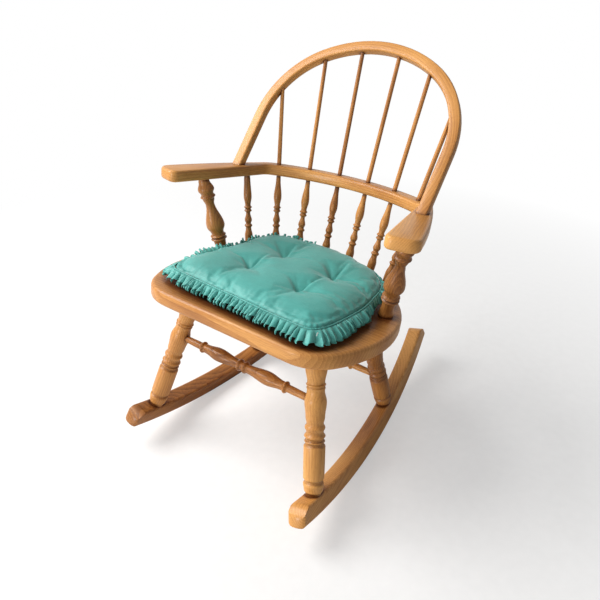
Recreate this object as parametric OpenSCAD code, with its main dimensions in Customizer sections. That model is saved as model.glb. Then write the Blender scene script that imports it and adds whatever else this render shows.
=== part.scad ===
// Spindle back rocking chair with a loose, frilled seat cushion.
// The chair is drawn in its seat's own frame: the seat lies level, X runs across,
// Y runs to the back and Z = 0 is the lowest point of the rockers' middle line.
// At the end the whole chair leans back by rest_tilt, as it stands at rest.

/* [Stance] */
// How far the chair leans back when it stands still, in degrees
rest_tilt = 9.5; // [5:0.1:10]

/* [Seat] */
// Height of the seat's top above the rockers' lowest point
seat_h = 396; // [370:1:430]
// Thickness of the seat board
seat_t = 35; // [30:1:42]
// Radius of the seat's round sides and back
seat_r = 286; // [280:1:305]
// Distance from the seat's middle to its straight front edge
seat_front = 190; // [175:1:200]
// Radius of the two front corners
seat_corner_r = 95; // [55:1:105]
// Rounding of the seat's rim
seat_edge_r = 9; // [3:0.5:14]
// Depth of the dished sitting area
dish_depth = 8; // [3:0.5:10]
// Radius of the dished sitting area
dish_r = 187; // [170:1:192]
// Width of the flat rim in front of the dish
dish_rim = 19; // [15:0.5:26]

/* [Legs] */
// Across the chair, from the middle to a front leg's top
front_leg_x = 169.6; // [155:1:185]
// Front to back, from the seat's middle forward to a front leg's top
front_leg_y = 83.8; // [70:1:100]
// Across the chair, from the middle to a rear leg's top
rear_leg_x = 173.2; // [160:1:185]
// Front to back, from the seat's middle back to a rear leg's top
rear_leg_y = 118.6; // [105:1:130]
// Where a front leg stands on its rocker, forward of the rocker's low point
front_foot = 129; // [115:1:145]
// Where a rear leg stands on its rocker, behind the rocker's low point
rear_foot = 268; // [250:1:285]
// Radius of a leg's plain lower length
leg_r = 23.2; // [21:0.1:26]
// Radius of a leg's upper swelling
leg_swell_r = 23.6; // [21:0.1:26]
// Radius of a leg's turned rings
leg_ring_r = 22.4; // [20:0.1:25]
// Radius of a leg's foot where it meets the rocker
leg_foot_r = 17; // [15:0.5:19]
// Radius of a leg's narrow neck
leg_neck_r = 18.6; // [16:0.1:20]
// Radius of a leg where it meets the seat
leg_top_r = 19.5; // [17:0.5:22]
// Radius of the peg at a leg's top
leg_tenon_r = 12.5; // [10:0.5:15]
// Depth of the leg's peg in the seat
leg_tenon_l = 21; // [16:1:24]
// Radius of the shallow round recess under the seat that a leg's top stands in
leg_recess_r = 23; // [22.5:0.5:26]
// Depth of that recess
leg_recess = 1; // [0.5:0.5:3]
// Radius of the peg at a leg's foot
foot_tenon_r = 10; // [8:0.5:12]
// Depth of the foot's peg in the rocker
foot_tenon_l = 18; // [12:1:24]

/* [Rockers] */
// Radius of a rocker's lower edge
rocker_r = 1005; // [900:1:1150]
// Height of a rocker's board
rocker_h = 41; // [36:1:48]
// Thickness of a rocker's board
rocker_w = 41; // [36:1:46]
// Rounding along a rocker's edges
rocker_edge_r = 7; // [2:0.5:10]
// Across the chair, from the middle to a rocker's low point
rocker_x = 245.8; // [235:1:255]
// How far a rocker leans in at the top, in degrees
rocker_cant = 15.7; // [12:0.1:19]
// How far the rockers run together towards the back, in degrees
rocker_toe = 3.4; // [2:0.1:5]
// Length of a rocker in front of its low point, along its curve
rocker_front = 205; // [190:1:240]
// Length of a rocker behind its low point, along its curve
rocker_rear = 575; // [500:1:590]

/* [Stretchers] */
// Height of the front stretcher on its legs, along the leg from the rocker
front_stretcher_s = 205; // [200:1:210]
// Height of the rear stretcher on its legs, along the leg from the rocker
rear_stretcher_s = 105; // [85:1:108]
// Radius of a stretcher's two swellings
stretcher_swell_r = 15.8; // [14:0.1:18]
// Radius of a stretcher's rings
stretcher_ring_r = 13.8; // [12:0.1:15]
// Radius of a stretcher's ends
stretcher_end_r = 8; // [7:0.1:9]
// Depth of a stretcher's end in a leg
stretcher_tenon_l = 15; // [10:0.5:17]

/* [Arms] */
// Height of the arms' top above the seat's top
arm_h = 227; // [210:1:245]
// Thickness of the arms and of the back rail
arm_t = 27; // [24:0.5:32]
// Rounding along the edges of the arms and the back rail
arm_edge_r = 6.5; // [2:0.5:7]
// Radius of the back rail's middle line
rail_r = 420; // [400:1:440]
// Width of the back rail
rail_w = 40; // [34:1:46]
// Distance from the seat's middle back to the rail's middle line
rail_back = 287; // [280:1:294]
// Half of the angle that the back rail's outer edge spans, in degrees
rail_half_angle = 29.2; // [28.8:0.1:30]
// Half of the angle that the back rail's inner edge spans, in degrees
rail_in_angle = 30.5; // [30:0.1:31]
// Radius of the outer edge where the rail bends into an arm
bend_out_r = 60; // [50:1:72]
// Radius of the inner edge where the rail bends into an arm
bend_in_r = 22; // [17:1:28]
// Direction of an arm's inner edge, in degrees
arm_in_angle = 79.2; // [77:0.1:82]
// Direction of an arm's outer edge at the bend, in degrees
arm_out_angle = 66.8; // [64:0.1:69]
// Radius of an arm's long outer edge
arm_out_r = 1640; // [1300:10:3000]
// How far an arm's inner front corner lies in front of the seat's middle
arm_front = 74; // [55:1:90]
// Slant of an arm's front end, in degrees
arm_front_slant = 16.3; // [5:0.1:25]
// Rounding of an arm's outer front corner
arm_corner_out = 25; // [8:1:28]
// Rounding of an arm's inner front corner
arm_corner_in = 16; // [6:1:20]
// Length of the fingers where an arm joins the back rail
finger_l = 9; // [4:0.5:14]
// Number of fingers in that joint
finger_n = 3; // [2:1:6]

/* [Arm posts] */
// How far behind the seat's middle a post meets its arm
post_top_y = 34; // [20:1:45]
// From an arm's inner edge to the post's middle
post_top_in = 27.5; // [24:0.5:34]
// Where a post stands on the seat, in degrees from straight sideways
post_angle = 19.7; // [16:0.1:24]
// From the seat's edge in to a post's middle
post_in = 37; // [34:0.5:46]
// Radius of a post's upper bulb
post_bulb_r = 20; // [17:0.1:22]
// Radius of a post's lower bulb
post_swell_r = 23; // [20:0.1:26]
// Radius of a post's rings
post_ring_r = 19.6; // [18:0.1:22]
// Radius of a post's narrow neck
post_neck_r = 10.8; // [9:0.1:13]
// Radius of a post where it meets the seat
post_foot_r = 17; // [14:0.5:19]
// Radius of a post where it meets the arm
post_top_r = 12; // [10:0.5:14]
// Radius of the pegs at a post's two ends
post_tenon_r = 9; // [7:0.5:9.5]
// Depth of a post's upper peg in the arm
post_tenon_top = 16; // [10:1:20]
// Depth of a post's lower peg in the seat
post_tenon_seat = 22; // [14:1:26]

/* [Back bow] */
// How far the bow leans back, in degrees
bow_lean = 32.8; // [31:0.1:34.5]
// Height of the bow above the arms, along its lean
bow_h = 378.5; // [350:0.5:400]
// Width of the bow's bent stick, seen from the front
bow_face = 25; // [22:0.5:28]
// Depth of the bow's bent stick, front to back
bow_depth = 21; // [18:0.5:25]
// Rounding along the bow's edges
bow_edge_r = 4; // [1:0.5:7]
// Radius of the bow's two shoulders, on the outside
bow_shoulder_r = 224; // [205:1:240]
// Half of the angle that the bow's flat crown spans, in degrees
bow_crown_angle = 30; // [26:0.5:34]
// How far behind the seat's middle the bow's front face meets the arms
bow_foot_y = 125.6; // [115:0.5:135]
// Radius of the peg at a bow's foot
bow_tenon_r = 7; // [5:0.5:9]
// Depth of that peg in the arm, along the bow
bow_tenon_l = 20; // [12:1:24]

/* [Long spindles] */
// Angle between two long spindles, seen from above about the rail's centre
spindle_pitch = 11.2; // [10.6:0.05:11.5]
// Where the inner spindles meet the bow, in degrees from its top
bow_angle_1 = 9.9; // [8:0.1:12]
// Where the middle spindles meet the bow, in degrees from its top
bow_angle_2 = 29.3; // [27:0.1:31]
// Where the outer spindles meet the bow, in degrees from its top
bow_angle_3 = 65; // [62:0.1:68]
// Radius of a spindle's foot in the seat
spindle_foot_r = 9; // [7.5:0.1:10]
// Depth of a spindle's foot in the seat
spindle_foot_l = 20; // [12:1:24]
// Radius of a spindle's lower swelling
spindle_base_r = 10.3; // [9:0.1:12]
// Radius of a spindle's rings
spindle_ring_r = 10.1; // [9:0.1:12]
// Radius of a spindle's narrow waist
spindle_waist_r = 5.6; // [4.5:0.1:7]
// Radius of a spindle's upper swelling
spindle_vase_r = 10.3; // [9:0.1:12]
// Radius of a spindle's plain stick in the back rail
spindle_stick_r = 5.5; // [4.5:0.1:6.5]
// Radius of a spindle's top in the bow
spindle_top_r = 4.8; // [4:0.1:5.5]
// Depth of a spindle's top in the bow
spindle_top_l = 12; // [8:0.5:15]

/* [Short spindles] */
// How far behind the seat's middle a short spindle meets its arm
short_top_y = 159; // [150:1:166]
// From an arm's inner edge to the short spindle's middle
short_top_in = 17; // [14:0.5:22]
// Where a short spindle stands on the seat, in degrees from straight sideways
short_angle = 36.9; // [33:0.1:40]
// From the seat's edge in to a short spindle's middle
short_in = 25; // [22:0.5:32]
// Radius of a short spindle's top in the arm
short_top_r = 7.6; // [6.5:0.1:8.5]
// Depth of a short spindle's top in the arm
short_top_l = 16; // [10:1:20]

/* [Cushion] */
// From the seat's side in to the cushion's side seam
cushion_side_in = 75; // [72:1:100]
// From the seat's back in to the cushion's rear seam
cushion_back_in = 54; // [52:1:70]
// From the seat's front edge in to the cushion's front seam
cushion_front_in = 49; // [40:1:60]
// How far the cushion lies turned on the seat, in degrees
cushion_turn = -3; // [-4:0.5:3]
// Height of the cushion's seam above the seat
seam_h = 31; // [24:1:40]
// Height of the cushion's crown above its seam
crown_h = 25; // [10:1:30]
// How much higher the cushion's rear lies than its front, where it rides up on the spindles
rear_rise = 9; // [0:0.5:12]
// Depth of the sewn tufts below the crown
tuft_depth = 11; // [6:1:14]
// Half of the tufts' distance across the cushion
tuft_half_x = 76; // [50:1:95]
// Half of the tufts' distance from front to back
tuft_half_y = 56; // [35:1:75]
// How far the tufts' middle lies off the cushion's middle, across
tuft_off_x = 16; // [-20:1:25]
// How far the tufts' middle lies behind the seat's middle
tuft_off_y = 24; // [0:1:50]
// How far the tufts' pattern is turned, in degrees
tuft_turn = -5; // [-8:0.5:8]
// Thickness of the frill's folded cloth
frill_t = 2.4; // [1.5:0.1:4]
// How far the frill stands out from the seam at its lower edge
frill_flare = 11; // [4:0.5:13]
// Depth of the frill's pleats
pleat_depth = 4; // [2:0.25:6]
// Number of pleats in the frill
pleats = 33; // [20:1:34]

/* [Hidden] */
$fn = 64;

// Colours of the varnished wood's pieces and of the cloth
wood = [0.72, 0.42, 0.19];
wood_turned = [0.66, 0.37, 0.16];
wood_bent = [0.80, 0.50, 0.25];
cloth = [0.20, 0.45, 0.42];
cloth_frill = [0.16, 0.38, 0.36];

// Free space round every peg in its hole, and under its end
peg_gap = 0.15;
peg_end_gap = 0.3;
// Free space between the cushion and what lies next to it
soft_gap = 0.3;

seat_top = seat_h;
seat_bottom = seat_h - seat_t;
arm_top = seat_h + arm_h;
arm_bottom = arm_top - arm_t;

// Unit direction in plan: 0 degrees points back, 90 degrees to the sitter's left
function n2(a) = [sin(a), cos(a)];
function along2(c, r, a) = c + r * n2(a);
// The point at distance s from p towards q
function at(p, q, s) = p + (q - p) * s / norm(q - p);
// A smooth step from 0 to 1, level at both ends
function ease(t) = (1 - cos(180 * t)) / 2;

// A round solid with its Z axis along the line from p to q, starting at p. It is turned
// about that axis too, so that its seam lies beside the boards' own edges.
module aim(p, q) {
    d = q - p;
    translate(p)
        rotate([0, acos(d[2] / norm(d)), atan2(d[1], d[0])])
            rotate([0, 0, 40])
                children();
}

// Blocks larger than the chair is wide, for cutting pieces off flat at the height z
block = 3 * seat_r;
module above(z) {
    translate([0, 0, z + block / 2])
        cube(block, center = true);
}
module below(z) {
    translate([0, 0, z - block / 2])
        cube(block, center = true);
}

// Outline of a turned piece: stations of [distance, radius, curve], where curve 0
// runs straight to the next station and curve 1 eases into it level at both ends
function turned_points(st) = [
    [0, st[0][0]],
    for (i = [0 : len(st) - 2])
        let (a = st[i], b = st[i + 1], n = a[2] == 0 ? 1 : 6)
            for (k = [0 : n - 1])
                [a[1] + (b[1] - a[1]) * (a[2] == 0 ? k / n : ease(k / n)),
                 a[0] + (b[0] - a[0]) * k / n],
    [st[len(st) - 1][1], st[len(st) - 1][0]],
    [0, st[len(st) - 1][0]]
];

module turned(st) {
    rotate_extrude($fn = 48)
        polygon(turned_points(st));
}

// A closed skin through rings of points, all of the same even length. Each end is closed
// by a strip that crosses from a point i to the point i from the ring's end.
module skin(rings) {
    n = len(rings[0]);
    m = len(rings);
    z = n * (m - 1);
    polyhedron(
        points = [for (r = rings) for (p = r) p],
        faces = concat(
            [for (i = [0 : n / 2 - 2])
                let (j = n - 1 - i)
                    each [[j, i + 1, i], [j, j - 1, i + 1],
                          [z + i, z + i + 1, z + j], [z + i + 1, z + j - 1, z + j]]],
            [for (k = [0 : m - 2])
                for (i = [0 : n - 1])
                    let (a = k * n + i, b = k * n + (i + 1) % n)
                        each [[a, b, a + n], [b, b + n, a + n]]]
        ),
        convexity = 10
    );
}

// A round stretch of an outline as [x, y, direction of its outward normal]
function arc_pts(c, r, a0, a1, n) = [
    for (i = [0 : n])
        let (a = a0 + (a1 - a0) * i / n) [c[0] + r * sin(a), c[1] + r * cos(a), a]
];
// A hollow stretch, whose outward normal points to its centre
function hollow_pts(c, r, a0, a1, n) = [
    for (i = [0 : n])
        let (a = a0 + (a1 - a0) * i / n) [c[0] + r * sin(a), c[1] + r * cos(a), a + 180]
];
// The outline moved inwards by i, at height z
function inset_ring(edge, i, z) = [
    for (p = edge) [p[0] - i * sin(p[2]), p[1] - i * cos(p[2]), z]
];
// Inset and height of a board's rounded lower and upper edges
function low_edge(r) = [for (a = [0 : 30 : 90]) [r * (1 - sin(a)), r * (1 - cos(a))]];
function top_edge(r, t) = [for (a = [90 : -30 : 0]) [r * (1 - sin(a)), t - r * (1 - cos(a))]];

// A rectangle with rounded corners, about the origin
module rounded(w, h, r) {
    square([w - 2 * r, h], center = true);
    square([w, h - 2 * r], center = true);
    for (x = [-1, 1])
        for (y = [-1, 1])
            translate([x * (w / 2 - r), y * (h / 2 - r)])
                circle(r, $fn = 32);
}

// Places one side's piece: side 1 is the sitter's left, at positive X
module on_side(side) {
    if (side > 0)
        children();
    else
        mirror([1, 0, 0])
            children();
}

// Places that the pieces share, for the sitter's left side

// A point of a rocker: out across its thickness, up from its lower edge,
// and a distance along its curve from the low point
function rocker_pt(out, up, run) =
    let (a = run / (rocker_r - rocker_h / 2) * 180 / PI,
         y = (rocker_r - up) * sin(a),
         u = rocker_r - (rocker_r - up) * cos(a),
         x = out * cos(rocker_cant) - u * sin(rocker_cant),
         z = out * sin(rocker_cant) + u * cos(rocker_cant))
    [rocker_x + x * cos(rocker_toe) - y * sin(rocker_toe),
     rocker_y + x * sin(rocker_toe) + y * cos(rocker_toe),
     z];
rocker_y = -8;

front_foot_pt = rocker_pt(0, rocker_h, -front_foot);
front_top_pt = [front_leg_x, -front_leg_y, seat_bottom];
rear_foot_pt = rocker_pt(0, rocker_h, rear_foot);
rear_top_pt = [rear_leg_x, rear_leg_y, seat_bottom];

// The back rail and the arms: one band with a finger joint at each bend
rail_c = [0, rail_back - rail_r];
bend_out_c = rail_c + (rail_r + rail_w / 2 - bend_out_r) * n2(rail_half_angle);
bend_in_c = rail_c + (rail_r - rail_w / 2 - bend_in_r) * n2(rail_in_angle);
bend_c = (bend_out_c + bend_in_c) / 2;
in_start = along2(bend_in_c, bend_in_r, arm_in_angle);
out_c = along2(bend_out_c, bend_out_r - arm_out_r, arm_out_angle);
// Inner and outer edge of an arm at a given y
function arm_in(y) = in_start[0] + (in_start[1] - y) / tan(arm_in_angle);
function arm_out(y) = out_c[0] + sqrt(arm_out_r * arm_out_r - pow(y - out_c[1], 2));

// The bow, measured in its own leaning plane: x across and u up from the arms' top
foot_mid_y = bow_foot_y + bow_depth / cos(bow_lean) / 2;
bow_foot_x = (arm_in(foot_mid_y) + arm_out(foot_mid_y)) / 2 + 1;
bow_half_w = bow_foot_x + bow_face / 2;
shoulder_x = bow_half_w - bow_shoulder_r;
crown_r = bow_shoulder_r + shoulder_x / sin(bow_crown_angle);
crown_u = bow_h - crown_r;
shoulder_u = crown_u + shoulder_x / tan(bow_crown_angle);
// A point of the bow at the angle a from its top, at depth i inside its outer edge
function bow_xu(a, i) =
    a <= bow_crown_angle
        ? [(crown_r - i) * sin(a), crown_u + (crown_r - i) * cos(a)]
        : [shoulder_x + (bow_shoulder_r - i) * sin(a), shoulder_u + (bow_shoulder_r - i) * cos(a)];
// A point of the bow's plane in the seat's frame, w behind its front face
function bow_pt(x, u, w) = [
    x,
    bow_foot_y + u * sin(bow_lean) + w * cos(bow_lean),
    arm_top + u * cos(bow_lean) - w * sin(bow_lean)
];

module in_bow_plane() {
    translate([0, bow_foot_y, arm_top])
        rotate([90 - bow_lean, 0, 0])
            children();
}

// Long spindles, from the inner pair (k = 0) to the outer pair (k = 2)
bow_angles = [bow_angle_1, bow_angle_2, bow_angle_3];
function rail_hit(k) =
    let (p = along2(rail_c, rail_r, (k + 0.5) * spindle_pitch)) [p[0], p[1], arm_top];
function bow_hit(k) =
    let (p = bow_xu(bow_angles[k], bow_face - spindle_top_l / 2)) bow_pt(p[0], p[1], bow_depth / 2);
function seat_hit(k) =
    let (a = rail_hit(k), b = bow_hit(k)) a + (a - b) * (arm_top - seat_top) / (b[2] - arm_top);

post_top_pt = [arm_in(post_top_y) + post_top_in, post_top_y, arm_bottom];
post_seat_pt = [(seat_r - post_in) * cos(post_angle), (seat_r - post_in) * sin(post_angle), seat_top];
short_top_pt = [arm_in(short_top_y) + short_top_in, short_top_y, arm_bottom];
short_seat_pt = [(seat_r - short_in) * cos(short_angle), (seat_r - short_in) * sin(short_angle), seat_top];

// How the chair stands: the lowest point of the leaning, canted rockers' rounded
// inner edge goes to Z = 0, and their two ends lie equally far from Y = 0
up_dir = [0, -sin(rest_tilt), cos(rest_tilt)];
back_dir = [0, cos(rest_tilt), sin(rest_tilt)];
axle_dir = [cos(rocker_cant) * cos(rocker_toe), cos(rocker_cant) * sin(rocker_toe), sin(rocker_cant)];
arc_mid = rocker_pt(0, rocker_r, 0);
edge_w = rocker_w / 2 - rocker_edge_r;
function across(d) = sqrt(1 - pow(axle_dir * d, 2));
ground = arc_mid * up_dir - edge_w * abs(axle_dir * up_dir)
    - (rocker_r - rocker_edge_r) * across(up_dir) - rocker_edge_r;
// A rocker's tip is cut round from above, about a point this far above its lower edge
tip_r = 0.9 * rocker_h;
tip_up = 0.12 * rocker_h;
back_end = rocker_pt(0, tip_up, rocker_rear) * back_dir;
front_end = rocker_pt(0, tip_up, -rocker_front) * back_dir;

module stand() {
    translate([0, -(back_end + front_end) / 2, -ground])
        rotate([-rest_tilt, 0, 0])
            children();
}

// Seat

corner_y = seat_front - seat_corner_r;
corner_x = sqrt(pow(seat_r - seat_corner_r, 2) - pow(corner_y, 2));
corner_a = atan2(corner_y, corner_x);
dish_y = dish_r - (seat_front - dish_rim);

// The seat's edge from its right side round the back, to the left, the front and back again
seat_edge = concat(
    arc_pts([0, 0], seat_r, -90, 90, 40),
    arc_pts([0, 0], seat_r, 90 + corner_a / 7, 90 + corner_a, 6),
    arc_pts([corner_x, -corner_y], seat_corner_r, 97 + corner_a, 180, 8),
    [for (i = [4 : -1 : -4]) [corner_x * i / 5, -seat_front, 180]],
    arc_pts([-corner_x, -corner_y], seat_corner_r, 180, 263 - corner_a, 8),
    arc_pts([0, 0], seat_r, 270 - corner_a, 270 - corner_a / 7, 6)
);
// A ring of the dish at the share q of its radius, with one point for each of the edge's
function dish_ring(q) = [
    for (p = seat_edge)
        let (a = atan2(p[0], p[1] - dish_y))
            [q * dish_r * sin(a), dish_y + q * dish_r * cos(a), seat_t - dish_depth * (1 - q * q)]
];

// The board reaches 1 mm below the seat and is planed off there to one flat face
module seat_board() {
    difference() {
        translate([0, 0, seat_bottom])
            skin(concat(
                [inset_ring(seat_edge, 1.3 * seat_edge_r, -1)],
                [for (i = [1 : 3]) let (e = low_edge(seat_edge_r)[i]) inset_ring(seat_edge, e[0], e[1])],
                [for (e = top_edge(seat_edge_r, seat_t)) inset_ring(seat_edge, e[0], e[1])],
                [for (q = [1, 0.9, 0.76, 0.6, 0.42, 0.22]) dish_ring(q)]
            ));
        below(seat_bottom);
    }
}

module seat() {
    stand()
        color(wood)
            difference() {
                seat_board();
                for (side = [-1, 1])
                    on_side(side) {
                        aim(at(front_top_pt, front_foot_pt, 12), front_top_pt)
                            cylinder(h = 12 + leg_tenon_l + peg_end_gap, r = leg_tenon_r + peg_gap);
                        for (p = [front_top_pt, rear_top_pt])
                            translate([p[0], p[1], seat_bottom - 10])
                                cylinder(h = 10 + leg_recess, r = leg_recess_r);
                        aim(at(rear_top_pt, rear_foot_pt, 12), rear_top_pt)
                            cylinder(h = 12 + leg_tenon_l + peg_end_gap, r = leg_tenon_r + peg_gap);
                        aim(at(post_seat_pt, post_top_pt, 12), post_seat_pt)
                            cylinder(h = 12 + post_tenon_seat + peg_end_gap, r = post_tenon_r + peg_gap);
                        aim(at(short_seat_pt, short_top_pt, 12), short_seat_pt)
                            cylinder(h = 12 + spindle_foot_l + peg_end_gap, r = spindle_foot_r + peg_gap);
                        for (k = [0 : 2])
                            aim(at(seat_hit(k), rail_hit(k), 12), seat_hit(k))
                                cylinder(h = 12 + spindle_foot_l + peg_end_gap, r = spindle_foot_r + peg_gap);
                    }
            }
}

// Rockers

run_deg = 180 / PI / (rocker_r - rocker_h / 2);
// What is cut off beyond a tip; it points along the curve in the direction d
module tip_waste(run, d) {
    rotate([0, 0, -90 + run * run_deg])
        translate([rocker_r - tip_up, -d * tip_r, 0])
            linear_extrude(rocker_w + 4, center = true)
                difference() {
                    translate([-2 * rocker_h, d > 0 ? 0 : -3 * rocker_h])
                        square([3 * rocker_h, 3 * rocker_h]);
                    circle(tip_r);
                }
}

// The same for the tip's sides, which are rounded less
module side_waste(run, d) {
    rotate([0, 0, -90 + run * run_deg])
        translate([rocker_r - rocker_h / 2, -d * 0.75 * rocker_w, 0])
            rotate([0, 90, 0])
                linear_extrude(2 * rocker_h, center = true)
                    difference() {
                        translate([-rocker_w, d > 0 ? 0 : -3 * rocker_w])
                            square([2 * rocker_w, 3 * rocker_w]);
                        circle(0.75 * rocker_w);
                    }
}

module rocker_board() {
    translate([rocker_x, rocker_y, 0])
        rotate([0, 0, rocker_toe])
            rotate([0, -rocker_cant, 0])
                translate([0, 0, rocker_r])
                    rotate([90, 0, 90])
                        difference() {
                            rotate([0, 0, -90 - (rocker_front + 10) * run_deg])
                                rotate_extrude(angle = (rocker_front + rocker_rear + 20) * run_deg, $fn = 360)
                                    translate([rocker_r - rocker_h / 2, 0])
                                        rounded(rocker_h, rocker_w, rocker_edge_r);
                            tip_waste(rocker_rear, 1);
                            tip_waste(-rocker_front, -1);
                            side_waste(rocker_rear, 1);
                            side_waste(-rocker_front, -1);
                        }
}

module rocker(side) {
    stand()
        on_side(side)
            color(wood)
                difference() {
                    rocker_board();
                    aim(at(front_foot_pt, front_top_pt, 8), front_foot_pt)
                        cylinder(h = 8 + foot_tenon_l + peg_end_gap, r = foot_tenon_r + peg_gap);
                    aim(at(rear_foot_pt, rear_top_pt, 8), rear_foot_pt)
                        cylinder(h = 8 + foot_tenon_l + peg_end_gap, r = foot_tenon_r + peg_gap);
                }
}

module rocker_left() { rocker(1); }
module rocker_right() { rocker(-1); }

// Legs

// Stations up a leg of length l; its rings are laid out for a usual length, and the plain
// lower length takes up the rest
leg_pattern_l = 325;
function leg_stations(l) =
    let (g = leg_ring_r - 3.8, m = l - leg_pattern_l)
    [[-4, leg_foot_r, 0], [2, leg_foot_r, 1], [10, leg_ring_r - 1.5, 1], [24, leg_ring_r + 0.3, 1],
     [30.5, g, 0], [33, g, 1], [37, leg_r - 0.4, 1], [70, leg_r, 0], [108 + m, leg_r, 1],
     [114 + m, g, 0], [116 + m, g, 1], [119.5 + m, leg_ring_r - 0.4, 1], [123.5 + m, g, 0],
     [125 + m, g, 1], [131 + m, leg_ring_r + 0.3, 1], [138 + m, g, 0], [140 + m, g, 1],
     [150 + m, leg_ring_r - 0.6, 1], [158 + m, g - 0.4, 1], [172 + m, leg_swell_r - 3, 1],
     [205 + m, leg_swell_r, 1], [230.5 + m, leg_neck_r + 0.2, 0], [232 + m, leg_neck_r + 0.2, 1],
     [236 + m, leg_neck_r + 1.6, 1], [240 + m, leg_neck_r, 1], [243.5 + m, leg_neck_r + 2.4, 1],
     [247 + m, leg_neck_r, 1], [279 + m, leg_r, 1], [l - 8, leg_top_r, 0], [l + 16, leg_top_r, 0]];

module leg(foot, top) {
    l = norm(top - foot);
    stand()
        color(wood_turned)
            difference() {
                union() {
                    difference() {
                        aim(foot, top)
                            turned(leg_stations(l));
                        above(seat_bottom + leg_recess);
                        rocker_board();
                    }
                    aim(at(top, foot, 5), top)
                        cylinder(h = 5 + leg_tenon_l, r = leg_tenon_r);
                    aim(at(foot, top, 5), foot)
                        cylinder(h = 5 + foot_tenon_l, r = foot_tenon_r);
                }
                children();
            }
}

front_joint_pt = at(front_foot_pt, front_top_pt, front_stretcher_s);
rear_joint_pt = at(rear_foot_pt, rear_top_pt, rear_stretcher_s);

// The hole for a stretcher's end in the leg, from the leg's inner face outwards
module stretcher_hole(p, r_leg) {
    translate([p[0] - r_leg - 10, p[1], p[2]])
        rotate([0, 90, 0])
            cylinder(h = 10 + stretcher_tenon_l + peg_end_gap, r = stretcher_end_r + peg_gap);
}

module leg_front_left() {
    leg(front_foot_pt, front_top_pt)
        stretcher_hole(front_joint_pt, leg_swell_r);
}
module leg_front_right() {
    mirror([1, 0, 0])
        leg_front_left();
}
module leg_rear_left() {
    leg(rear_foot_pt, rear_top_pt)
        stretcher_hole(rear_joint_pt, leg_r);
}
module leg_rear_right() {
    mirror([1, 0, 0])
        leg_rear_left();
}

// Stretchers

// Stations from the middle of a stretcher to its end at h; the plain end takes up any change
function stretcher_stations(h) =
    let (g = stretcher_ring_r - 3.4)
    [[0, g + 0.2, 1], [1.5, g + 0.4, 1], [8, stretcher_ring_r + 0.2, 1], [15.5, g, 0], [18, g, 1],
     [70, stretcher_swell_r, 1], [110, g + 0.2, 0], [112.5, g, 1], [119, stretcher_ring_r, 1],
     [126, g - 1.6, 0], [128, g - 1.6, 1], [h - 12, stretcher_end_r, 0], [h, stretcher_end_r, 0]];

module stretcher(p, r_leg) {
    h = p[0] - r_leg + stretcher_tenon_l;
    stand()
        color(wood_turned)
            translate([0, p[1], p[2]])
                for (m = [-1, 1])
                    rotate([0, 90 * m, 0])
                        turned(stretcher_stations(h));
}

module stretcher_front() { stretcher(front_joint_pt, leg_swell_r); }
module stretcher_rear() { stretcher(rear_joint_pt, leg_r); }

// Arm posts

// Stations down a post of length l from the arm; the foot takes up any change in l
function post_stations(l) =
    [[-8, post_top_r, 0], [3, post_top_r, 1], [10, post_top_r + 1.5, 1], [30, post_bulb_r, 1],
     [41, post_bulb_r - 4.6, 0], [43, post_bulb_r - 4.6, 1], [48, post_bulb_r - 1.4, 1],
     [53, post_bulb_r - 5.4, 1], [68, post_neck_r, 1], [124, post_swell_r, 1], [145, post_ring_r - 4, 0],
     [147.5, post_ring_r - 4, 1], [151.5, post_ring_r, 1], [155.5, post_ring_r - 3.4, 1],
     [160, post_ring_r + 0.6, 1], [165, post_ring_r - 4.4, 1], [182, post_foot_r - 3, 1],
     [l - 5, post_foot_r, 0], [l + 10, post_foot_r, 0]];

module arm_post_left() {
    l = norm(post_top_pt - post_seat_pt);
    stand()
        color(wood_turned)
            union() {
                difference() {
                    aim(post_top_pt, post_seat_pt)
                        turned(post_stations(l));
                    above(arm_bottom);
                    below(seat_top);
                }
                aim(at(post_top_pt, post_seat_pt, 7), post_top_pt)
                    cylinder(h = 7 + post_tenon_top, r = post_tenon_r);
                aim(at(post_seat_pt, post_top_pt, 7), post_seat_pt)
                    cylinder(h = 7 + post_tenon_seat, r = post_tenon_r);
            }
}
module arm_post_right() {
    mirror([1, 0, 0])
        arm_post_left();
}

// Spindles

// Stations of a spindle's turned length above the seat, up to its plain stick
function spindle_stations(stick_r) =
    let (g = spindle_ring_r - 3)
    [[-spindle_foot_l, spindle_foot_r, 0], [4, spindle_foot_r, 1], [46, spindle_base_r, 1],
     [64.5, g, 0], [66.5, g, 1], [72, spindle_ring_r, 1], [77.5, g - 0.4, 1], [86, spindle_base_r - 0.9, 1],
     [104, spindle_waist_r, 0], [106, spindle_waist_r, 1], [111, spindle_ring_r - 0.5, 1],
     [115.5, g, 1], [120, spindle_ring_r, 1], [124.5, g, 1], [147, spindle_vase_r, 1],
     [192, stick_r + 0.5, 0]];

module long_spindle(side, k) {
    foot = seat_hit(k);
    top = bow_hit(k);
    rail_s = norm(rail_hit(k) - foot);
    end_s = norm(top - foot) + spindle_top_l / 2;
    stand()
        on_side(side)
            color(wood_turned)
                aim(foot, top)
                    turned(concat(spindle_stations(spindle_stick_r),
                        [[rail_s - arm_t - 2, spindle_stick_r, 0], [rail_s + 10, spindle_stick_r, 0],
                         [end_s - spindle_top_l - 6, spindle_top_r, 0], [end_s, spindle_top_r, 0]]));
}

module long_spindle_1() { long_spindle(-1, 2); }
module long_spindle_2() { long_spindle(-1, 1); }
module long_spindle_3() { long_spindle(-1, 0); }
module long_spindle_4() { long_spindle(1, 0); }
module long_spindle_5() { long_spindle(1, 1); }
module long_spindle_6() { long_spindle(1, 2); }

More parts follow.
